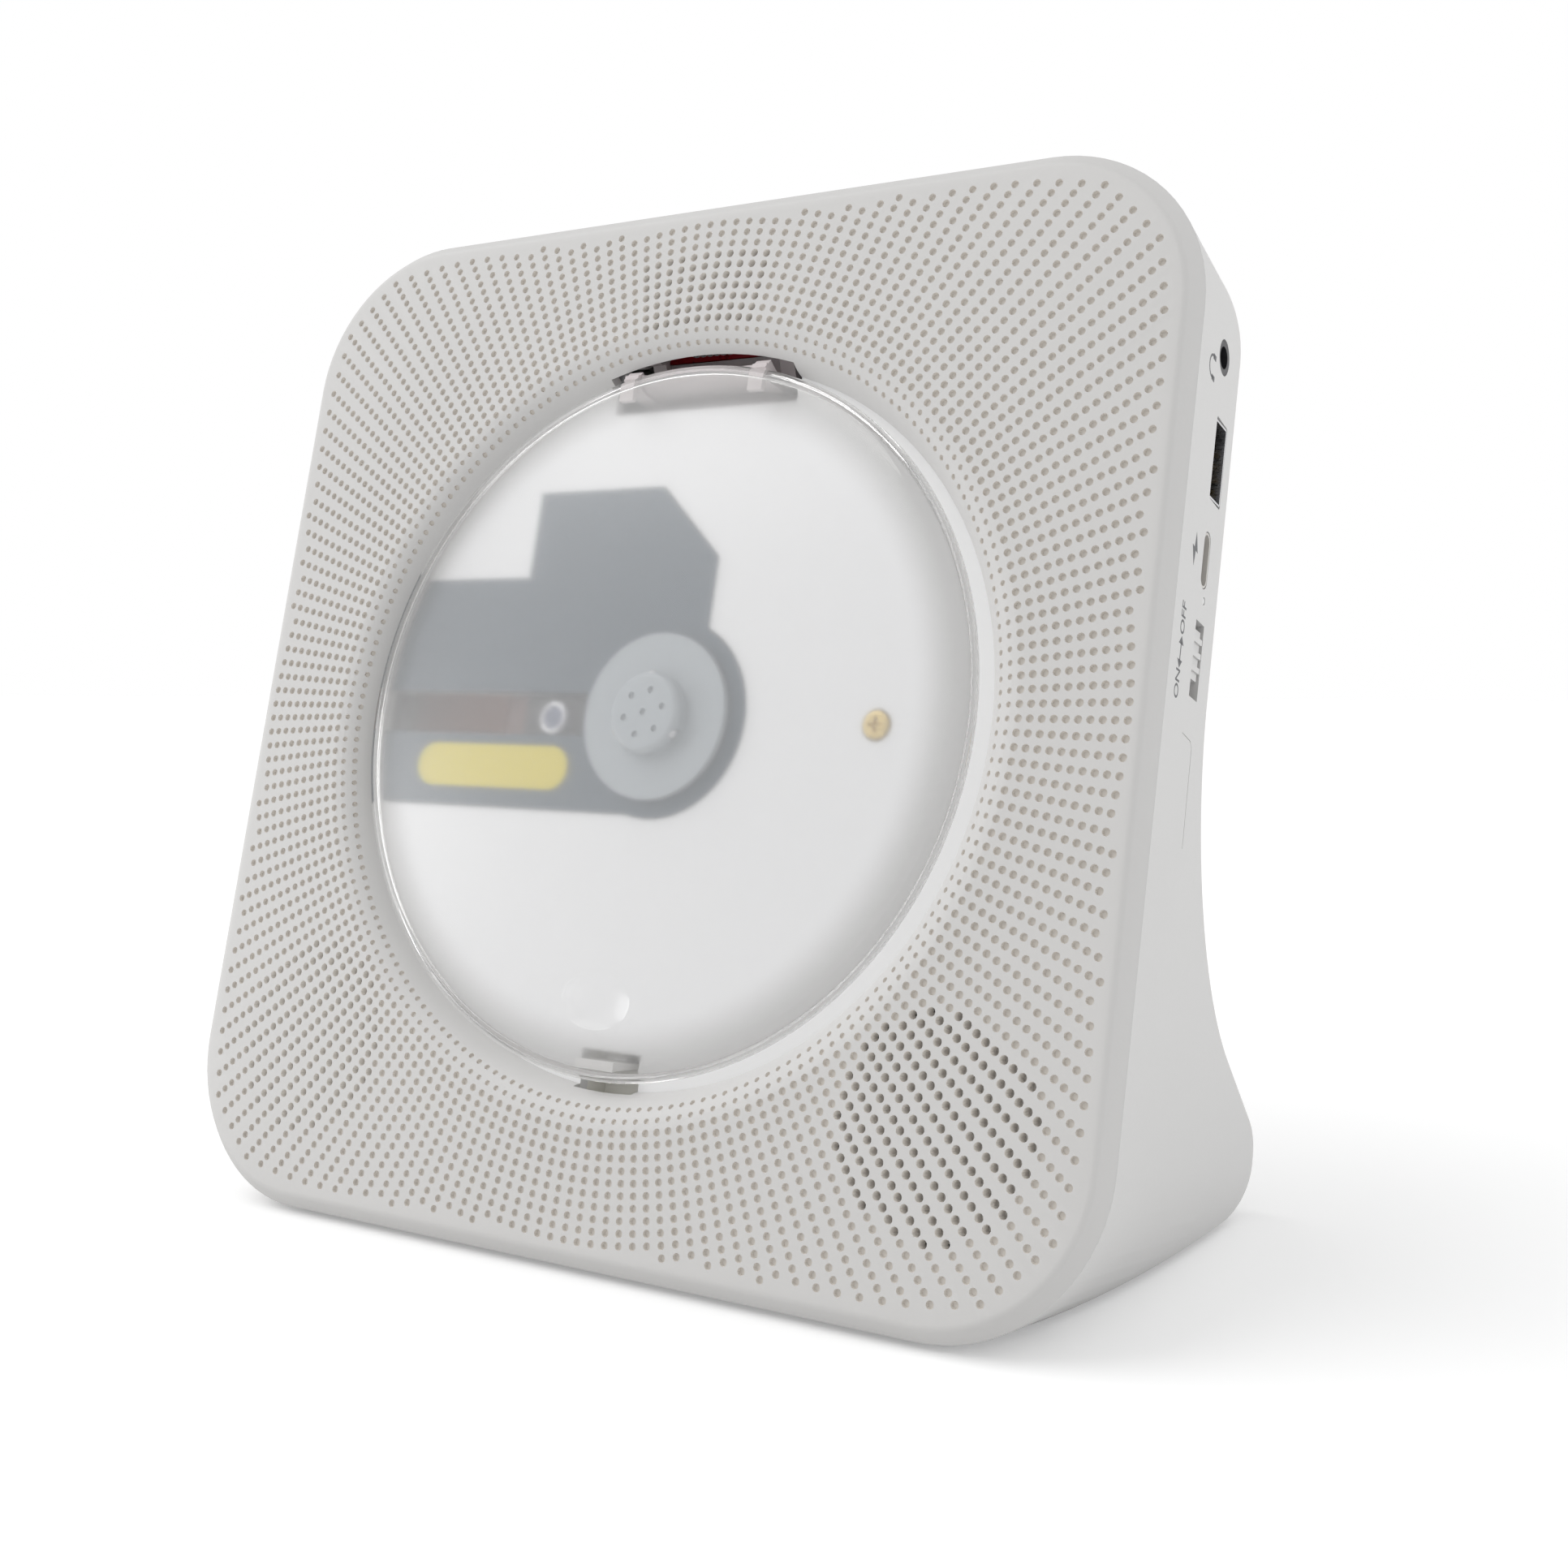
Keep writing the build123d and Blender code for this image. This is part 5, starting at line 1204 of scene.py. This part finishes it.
class PLAYER_OT_finishes(bpy.types.Operator):
    """Make the finishes and give them to the frame's nodes"""

    bl_idname = "disc_player.finishes"
    bl_label = "Finishes"

    def execute(self, context):
        colours = context.scene.disc_player.colours
        moulded_group()
        axis_group()
        # Mouldings have their colour, roughness, scale and height of the grain, and mottling
        finishes = {
            "case": moulded("case_moulding", colours.case, 0.52, 2400.0, 0.35, 0.025),
            "deck": moulded("deck_moulding", colours.deck, 0.42, 2400.0, 0.12, 0.02),
            "grey": moulded("cover_plate_moulding", colours.cover_plate, 0.42, 1800.0, 0.1, 0.03),
            "black": moulded("dark_moulding", colours.dark, 0.38, 1800.0, 0.25, 0.2),
            "gear": moulded("nylon_gear", (0.80, 0.78, 0.70), 0.45, 900.0, 0.15, 0.05),
            "steel": drawn_metal("bright_steel", (0.60, 0.60, 0.61), 0.27),
            "brass": drawn_metal("passivated_screw", (0.66, 0.50, 0.20), 0.30),
            "yellow": moulded("label_film", colours.label, 0.38, 3200.0, 0.05, 0.03),
            "rubber": moulded("rubber", (0.03, 0.03, 0.03), 0.75, 900.0, 0.5, 0.2),
            "board": solder_mask("solder_mask", (0.02, 0.13, 0.06)),
            "display": moulded("smoked_window", (0.012, 0.006, 0.006), 0.16, 900.0, 0.02, 0.1, coat=0.6),
            "lamp": moulded("light_pipe", (0.75, 0.75, 0.74), 0.25, 900.0, 0.05, 0.02),
            "cone": moulded("pressed_paper", (0.32, 0.315, 0.30), 0.8, 1400.0, 0.9, 0.3),
            "magnet": moulded("ferrite", (0.08, 0.08, 0.085), 0.55, 1500.0, 0.6, 0.3),
            "cell": moulded("cell_wrap", (0.05, 0.16, 0.35), 0.3, 700.0, 0.05, 0.05),
            "lid": hazy_plastic("hinge_plastic", colours.hinge, 0.12, 0.25),
            "lens": coated_lens(),
        }
        for subpart in frame["record"]["subparts"]:
            mesh = NODES[subpart["node"]].data
            mesh.materials.clear()
            mesh.materials.append(finishes[subpart["material_slot"]])
        platter = moulded("platter_moulding", colours.platter, 0.4, 1600.0, 0.2, 0.05)
        for node in ("turntable", "turntable_hub"):
            NODES[node].data.materials[0] = platter
        frosted_lid(colours.lid, colours.lid_clear_rim_shade, context.scene.disc_player.lid)
        repaint = {
            "display_board": solder_mask("red_solder_mask", (0.12, 0.006, 0.008)),
            "display_module": moulded("red_window", (0.15, 0.006, 0.010), 0.2, 900.0, 0.02, 0.1, coat=0.5),
            "latch_bracket": moulded("latch_moulding", (0.93, 0.92, 0.87), 0.4, 900.0, 0.1, 0.05),
            "lid_hook": moulded("hook_moulding", (0.86, 0.85, 0.84), 0.4, 900.0, 0.1, 0.03),
            "power_switch_body": moulded("switch_moulding", (0.70, 0.69, 0.68), 0.5, 900.0, 0.1, 0.05),
            "charging_socket": moulded("socket_insert", (0.58, 0.56, 0.53), 0.5, 900.0, 0.1, 0.05),
        }
        for node, finish in repaint.items():
            NODES[node].data.materials[0] = finish
        # The pits and the mouths of the open holes: a warm tone that stands for the shade of deeper pits,
        # painted shade
        moulded("hole_walls_painted_shade", colours.pit, 0.7, 1500.0, 0.1, 0.12)
        # The deep walls of the open holes: far paler than the case they are cut from, painted light that lifts
        # the holes
        moulded("deep_hole_walls_painted_light", (0.90, 0.87, 0.83), 0.7, 1500.0, 0.1, 0.1)
        moulded("speaker_cloth", (0.80, 0.78, 0.75), 0.9, 1200.0, 0.8, 0.1)
        # Near-black walls for the hub's shallow pits: painted shade
        moulded("hub_pits_painted_shade", (0.07, 0.08, 0.085), 0.6, 1500.0, 0.1, 0.1)
        moulded("mark_ink", colours.ink, 0.6, 5000.0, 0.05, 0.08)
        return {"FINISHED"}


class PLAYER_OT_front_cover(bpy.types.Operator):
    """Build the front cover with its softened edge, seam groove and every perforation"""

    bl_idname = "disc_player.front_cover"
    bl_label = "Perforated front cover"

    def execute(self, context):
        case = context.scene.disc_player.case
        holes = context.scene.disc_player.holes
        shell = merged_copy("front_cover")
        close_holes(shell, holes)
        round_front_edge(shell, case)
        mesh = to_mesh(shell, "front_cover_blank", material_of("case_moulding"))
        mesh.materials.append(material_of("hole_walls_painted_shade"))
        mesh.materials.append(material_of("deep_hole_walls_painted_light"))
        cutters = grown(
            bpy.data.meshes.new("perforation_seed"),
            perforation_tree(),
            {
                "Spokes": holes.spokes,
                "Rings": holes.rings,
                "First ring": holes.first_ring,
                "Ring step": holes.ring_step,
                "Radius": holes.radius,
                "Small share": holes.small_share,
                "Small rings": holes.small_rings,
                "Pit depth": holes.pit_depth,
                "Pit floor": holes.pit_floor,
                "Open depth": case.seam_depth + 0.05 * MM,
                "Half width": case.size / 2 - holes.edge_margin,
                "Corner": case.corner - 3 * MM,
                "Roll centre": holes.roll_centre,
                "Roll radius": holes.roll_radius,
                "Display spokes": holes.display_spokes,
                "Display rings": holes.display_rings,
                "Speaker X": holes.speaker_x,
                "Speaker Y": holes.speaker_y,
                "Speaker span": holes.speaker_span,
                "Finish": material_of("hole_walls_painted_shade"),
            },
            "perforation_cutters",
        )
        # Past the roll, only the open holes reach this deep
        past_roll, deep = holes.roll_centre - holes.radius, -0.9 * MM
        middles = [face.center for face in cutters.polygons]
        # These deep walls take the paler finish, painted light; the others take the pits' tone, painted shade
        walls = [2 if middle.z < deep and middle.xy.length > past_roll else 1 for middle in middles]
        cutters.polygons.foreach_set("material_index", walls)
        mesh = boolean(mesh, seam_cutter(case), "DIFFERENCE", "seam_groove")
        mesh = boolean(mesh, cutters, "DIFFERENCE", "perforations")
        mesh.transform(FACE)
        smooth(mesh)
        link_piece("perforated_cover", mesh, "player", ["front_cover"])
        return {"FINISHED"}


class PLAYER_OT_speaker_cloths(bpy.types.Operator):
    """Lay a thin pale cloth behind the open holes of each speaker"""

    bl_idname = "disc_player.speaker_cloths"
    bl_label = "Speaker cloths"

    def execute(self, context):
        holes = context.scene.disc_player.holes
        radius, front, back = 17.3 * MM, -2.45 * MM, -2.75 * MM
        parts = []
        for side in (-1, 1):
            disc = turned([(0, front), (radius, front), (radius, back), (0, back)], 64, "cloth")
            parts.append((disc, FACE @ Matrix.Translation((side * holes.speaker_x, holes.speaker_y, 0))))
        mesh = joined(parts, "speaker_cloths", material_of("speaker_cloth"))
        link_piece("speaker_cloths", mesh, "player")
        return {"FINISHED"}


class PLAYER_OT_rear_housing(bpy.types.Operator):
    """Build the rear housing with its rounded back edge and seam groove"""

    bl_idname = "disc_player.rear_housing"
    bl_label = "Rounded rear housing"

    def execute(self, context):
        case = context.scene.disc_player.case
        mesh = to_mesh(merged_copy("rear_housing"), "housing_blank", material_of("case_moulding"))
        mesh = boolean(mesh, rounding_tool(case), "INTERSECT", "rounded_back")
        mesh = boolean(mesh, seam_cutter(case), "DIFFERENCE", "seam_groove")
        mesh = boolean(mesh, door_line_cutter(case), "DIFFERENCE", "door_line")
        mesh.transform(FACE)
        smooth(mesh)
        link_piece("rounded_housing", mesh, "player", ["rear_housing"])
        return {"FINISHED"}


class PLAYER_OT_recesses(bpy.types.Operator):
    """Cut the cross recesses of the screws that show and the pits in the hub's top"""

    bl_idname = "disc_player.recesses"
    bl_label = "Screw and hub recesses"

    def execute(self, context):
        tree = recess_tree()
        pit_ring, hub_top = 4.1, -1.3
        turns = [radians(60 * number + 15) for number in range(6)]
        pits = [(0, 0, hub_top), *((pit_ring * cos(turn), pit_ring * sin(turn), hub_top) for turn in turns)]
        screws = [(x, y, -15.8) for x, y in ((80, 80), (-80, 80), (84, -16), (-84, -16))]
        cross = {"Length": 2.7 * MM, "Width": 0.55 * MM, "Depth": 1.0 * MM}
        bore = {"Bore radius": 0.62 * MM, "Depth": 0.5 * MM}
        steel, brass, grey = "bright_steel", "passivated_screw", "platter_moulding"
        jobs = (
            ("deck_screw", "deck_screw_crossed", [(44.2, -0.4, -5.7)], cross, brass, "brass", "player"),
            ("cover_screws", "cover_screws_crossed", screws, cross, steel, "steel", "player"),
            ("turntable_hub", "hub_with_pits", pits, bore, grey, "black", "turntable"),
        )
        for node, name, places, sizes, finish, slot, body in jobs:
            seed = bpy.data.meshes.new(name + "_seed")
            seed.from_pydata([Vector(place) * MM for place in places], [], [])
            cutters = grown(seed, tree, {**sizes, "Finish": material_of(finish)}, name + "_cutters")
            mesh = to_mesh(merged_copy(node), name, material_of(finish))
            # The hub's pits take the near-black finish, painted shade in bores half a millimetre deep
            if node == "turntable_hub":
                mesh.materials.append(material_of("hub_pits_painted_shade"))
                cutters.polygons.foreach_set("material_index", [1] * len(cutters.polygons))
            mesh = boolean(mesh, cutters, "DIFFERENCE", name)
            mesh.transform(FACE)
            smooth(mesh)
            link_piece(name, mesh, body, [node])
        return {"FINISHED"}


class PLAYER_OT_lid(bpy.types.Operator):
    """Turn the lid with its rounded shoulder and press the finger dimple into it"""

    bl_idname = "disc_player.lid"
    bl_label = "Frosted lid"

    def execute(self, context):
        lid = context.scene.disc_player.lid
        mesh = turned(lid_profile(lid), 240, "lid_blank")
        mesh = boolean(mesh, dimple_cutter(lid), "DIFFERENCE", "finger_dimple")
        mesh.materials.clear()
        mesh.materials.append(material_of("frosted_lid"))
        mesh.transform(FACE)
        smooth(mesh, 9)
        piece = link_piece("dished_lid", mesh, "lid", ["lid"])
        piece.visible_shadow = False
        piece.visible_diffuse = False
        return {"FINISHED"}


class PLAYER_OT_hinge_leaf(bpy.types.Operator):
    """Join the two hinge arms by a curved leaf that fills the slot above the lid"""

    bl_idname = "disc_player.hinge_leaf"
    bl_label = "Hinge leaf"

    def execute(self, context):
        arms = to_mesh(merged_copy("lid_hinge_arms"), "arms_blank")
        arms = boolean(arms, box_mesh((-20, 40, -6), (20, 58.02, 0)), "DIFFERENCE", "arms_cut")
        leaf = curved_sheet((9.6, 8.7), (144, 204), 18, 12.6, "leaf_blank")
        mesh = boolean(arms, leaf, "UNION", "hinge_leaf")
        mesh.materials.clear()
        mesh.materials.append(material_of("hinge_plastic"))
        mesh.transform(FACE)
        smooth(mesh)
        link_piece("hinge_arms_with_leaf", mesh, "lid", ["lid_hinge_arms"])
        return {"FINISHED"}


class PLAYER_OT_hinge_shroud(bpy.types.Operator):
    """Close the pocket behind the hinge with a curved lining and a red strip of board"""

    bl_idname = "disc_player.hinge_shroud"
    bl_label = "Hinge shroud"

    def execute(self, context):
        red = solder_mask("red_strip", (0.30, 0.012, 0.02))
        grey = moulded("shroud_moulding", (0.95, 0.88, 0.89), 0.5, 900.0, 0.1, 0.05)
        pieces = (
            ("hinge_shroud", grey, (218, 282), "black"),
            ("hinge_board_strip", red, (283, 316), "board"),
        )
        for name, finish, turn, slot in pieces:
            mesh = curved_sheet((12.4, 11.6), turn, 14, 19.6, name)
            mesh.materials.append(finish)
            mesh.transform(FACE)
            smooth(mesh)
            link_piece(name, mesh, "player")
        return {"FINISHED"}


class PLAYER_OT_pickup_details(bpy.types.Operator):
    """Set the bright ring round the pickup lens, the brown film on the sled and the board under its travel"""

    bl_idname = "disc_player.pickup_details"
    bl_label = "Pickup details"

    def execute(self, context):
        profile = [(2.05, -6.35), (2.95, -6.35), (2.95, -6.08), (2.6, -5.98), (2.15, -6.05)]
        turns = [2 * pi * step / 64 for step in range(64)]
        sections = [
            [(radius * MM * cos(turn), radius * MM * sin(turn), height * MM) for radius, height in profile]
            for turn in turns
        ]
        mesh = lofted(sections, "lens_ring", closed=True)
        mesh.transform(FACE @ Matrix.Translation((-23.8 * MM, -0.4 * MM, 0)))
        mesh.materials.append(material_of("bright_steel"))
        smooth(mesh)
        link_piece("lens_ring", mesh, "pickup")
        board = box_mesh((-72, -9, -20.9), (-26, 9, -20.1))
        film = box_mesh((-36.6, -6.5, -8.99), (-31.2, 6.5, -8.85))
        pieces = (
            ("pickup_board", board, "brown_board", (0.55, 0.27, 0.20), "player"),
            ("pickup_film", film, "brown_film", (0.13, 0.07, 0.06), "pickup"),
        )
        for name, mesh, finish, colour, body in pieces:
            mesh.materials.append(moulded(finish, colour, 0.5, 700.0, 0.1, 0.1))
            mesh.transform(FACE)
            link_piece(name, mesh, body)
        return {"FINISHED"}


class PLAYER_OT_side_marks(bpy.types.Operator):
    """Print the pictograms of the jack, the charging socket and the switch"""

    bl_idname = "disc_player.side_marks"
    bl_label = "Side marks"

    def execute(self, context):
        case = context.scene.disc_player.case
        bolt = [(-2.7, 0.1), (0.35, 1.5), (0.2, 0.35), (2.7, -0.1), (-0.35, -1.5), (-0.2, -0.35)]
        switch_arrow = [
            *band([(-1.6, 0), (1.6, 0)], 0.4),
            [(-1.2, 1.25), (-2.5, 0), (-1.2, -1.25)],
            [(1.2, -1.25), (2.5, 0), (1.2, 1.25)],
        ]
        arch = [(1.75 * cos(radians(a)), 1.75 * sin(radians(a))) for a in range(-20, 201, 20)]
        headphones = [
            *band(arch, 0.4),
            [(-2.15, -1.5), (-1.25, -1.5), (-1.25, 0.05), (-2.15, 0.05)],
            [(1.25, -1.5), (2.15, -1.5), (2.15, 0.05), (1.25, 0.05)],
        ]
        parts = [
            (inked([bolt]), side_frame(case, 29.6 * MM, 10.0 * MM)),
            (inked(switch_arrow), side_frame(case, 12.5 * MM, 7.7 * MM)),
            (inked(headphones), side_frame(case, 59.3 * MM, 9.6 * MM)),
            (lettering("ON", 2.1 * MM), side_frame(case, 7.6 * MM, 7.6 * MM)),
            (lettering("OFF", 2.1 * MM), side_frame(case, 17.8 * MM, 7.6 * MM)),
        ]
        mesh = joined(parts, "side_marks", material_of("mark_ink"))
        link_piece("side_marks", mesh, "player")
        return {"FINISHED"}


class PLAYER_OT_button_marks(bpy.types.Operator):
    """Print a pictogram on each button in the top edge"""

    bl_idname = "disc_player.button_marks"
    bl_label = "Button marks"

    def execute(self, context):
        spacing, depth = 18 * MM, 14.4 * MM
        stroke, long_stroke = 0.45, 2.2

        def arrow(x, way=1):
            return [(way * along + x, up) for along, up in ((-0.9, -1.0), (0.9, 0), (-0.9, 1.0))][::way]

        def bar(x, width=stroke, height=2.0):
            left, right, top = x - width / 2, x + width / 2, height / 2
            return [(left, -top), (right, -top), (right, top), (left, top)]

        drawings = {
            "previous_button": [bar(-2.1), arrow(-0.9, -1), arrow(0.95, -1)],
            "play_button": [arrow(-1.1), bar(0.8), bar(1.7)],
            "next_button": [arrow(-0.95), arrow(0.9), bar(2.1)],
            "volume_down_button": [bar(0, long_stroke, stroke)],
            "volume_up_button": [bar(0, long_stroke, stroke), bar(0, stroke, long_stroke)],
        }
        for number, (button, outlines) in enumerate(drawings.items()):
            name = button.replace("_button", "_mark")
            place = top_frame((number - 2) * spacing, button_top(button), depth)
            mesh = joined([(inked(outlines), place)], name, material_of("mark_ink"))
            link_piece(name, mesh, button)
        return {"FINISHED"}


class PLAYER_OT_usb_contacts(bpy.types.Operator):
    """Lay the four contacts on the tongue of the USB socket"""

    bl_idname = "disc_player.usb_contacts"
    bl_label = "USB contacts"

    def execute(self, context):
        pitch, length, width, height = 2.2 * MM, 7.6 * MM, 1.0 * MM, 0.16 * MM
        points = [FACE_INVERSE @ vertex.co for vertex in NODES["usb_tongue"].data.vertices]
        end = max(point.x for point in points)
        back = min(point.z for point in points)
        middle = (max(point.y for point in points) + min(point.y for point in points)) / 2
        shell = bmesh.new()
        for step in (-1.5, -0.5, 0.5, 1.5):
            place = Matrix.Translation((end - 4.2 * MM, middle + step * pitch, back - 0.06 * MM))
            size = Matrix.Diagonal((length, width, height, 1))
            bmesh.ops.create_cube(shell, size=1, matrix=place @ size)
        bmesh.ops.bevel(shell, geom=shell.edges[:], offset=0.05 * MM, segments=2, affect="EDGES")
        shell.transform(FACE)
        mesh = to_mesh(shell, "usb_contacts", material_of("passivated_screw"))
        link_piece("usb_contacts", mesh, "player")
        return {"FINISHED"}


class PLAYER_OT_stage(bpy.types.Operator):
    """Set the floor, the lamps, the sky and the camera"""

    bl_idname = "disc_player.stage"
    bl_label = "Stage"

    def execute(self, context):
        scene = context.scene
        stage = scene.disc_player.stage
        shell = bmesh.new()
        bmesh.ops.create_circle(shell, cap_ends=True, radius=6.0, segments=96)
        floor = bpy.data.objects.new("floor", to_mesh(shell, "floor", floor_finish(stage)))
        scene.collection.objects.link(floor)
        key = bpy.data.lights.new("key_light", "SUN")
        key.angle = stage.key_spread
        key.energy = stage.key
        fill = area_lamp("fill_lamp", 0.6, stage.fill)
        fill.color = (0.96, 0.98, 1.0)
        side = area_lamp("side_lamp", 0.25, stage.side)
        middle = Vector((0, 0, 0.09))
        places = ((key, (-0.52, -0.34, 0.90)), (fill, (1.25, 0.38, 0.18)), (side, (-0.55, -0.28, 0.12)))
        for lamp, place in places:
            carrier = bpy.data.objects.new(lamp.name, lamp)
            carrier.location = place
            aim = middle - Vector(place)
            carrier.rotation_euler = aim.to_track_quat("-Z", "Y").to_euler()
            scene.collection.objects.link(carrier)
        sky(stage.sky)
        camera = bpy.data.cameras.new("photo_camera")
        camera.sensor_width = 36
        camera.lens = CAMERA_LENS
        camera.shift_x, camera.shift_y = CAMERA_SHIFT
        camera.clip_start = 0.01
        camera.clip_end = 50
        carrier = bpy.data.objects.new("photo_camera", camera)
        right, back = Vector(CAMERA_RIGHT).normalized(), Vector(CAMERA_BACK).normalized()
        up = back.cross(right).normalized()
        turn = Matrix((right, up, back)).transposed().to_4x4()
        carrier.matrix_world = Matrix.Translation(CAMERA_PLACE) @ turn
        scene.collection.objects.link(carrier)
        scene.camera = carrier
        scene.view_settings.view_transform = "Standard"
        return {"FINISHED"}


class PLAYER_PT_panel(bpy.types.Panel):
    """The player's steps, in the order they run"""

    bl_label = "Disc player"
    bl_idname = "PLAYER_PT_panel"
    bl_space_type = "VIEW_3D"
    bl_region_type = "UI"
    bl_category = "Disc player"

    def draw(self, context):
        for operator in OPERATORS:
            self.layout.operator(operator.bl_idname)


GROUPS = (PlayerCase, PlayerPerforations, PlayerLid, PlayerColours, PlayerStage, PlayerSettings)
OPERATORS = (
    PLAYER_OT_stage,
    PLAYER_OT_finishes,
    PLAYER_OT_front_cover,
    PLAYER_OT_speaker_cloths,
    PLAYER_OT_rear_housing,
    PLAYER_OT_lid,
    PLAYER_OT_hinge_leaf,
    PLAYER_OT_hinge_shroud,
    PLAYER_OT_pickup_details,
    PLAYER_OT_recesses,
    PLAYER_OT_side_marks,
    PLAYER_OT_button_marks,
    PLAYER_OT_usb_contacts,
)


def register():
    """Add the settings, the operators and the panel."""
    for kind in (*GROUPS, *OPERATORS, PLAYER_PT_panel):
        bpy.utils.register_class(kind)
    bpy.types.Scene.disc_player = PointerProperty(type=PlayerSettings)


def unregister():
    """Take them away again."""
    del bpy.types.Scene.disc_player
    for kind in reversed((*GROUPS, *OPERATORS, PLAYER_PT_panel)):
        bpy.utils.unregister_class(kind)


def main():
    """Run every operator in order."""
    register()
    for operator in OPERATORS:
        module, name = operator.bl_idname.split(".")
        getattr(getattr(bpy.ops, module), name)()


if __name__ == "__main__":
    main()
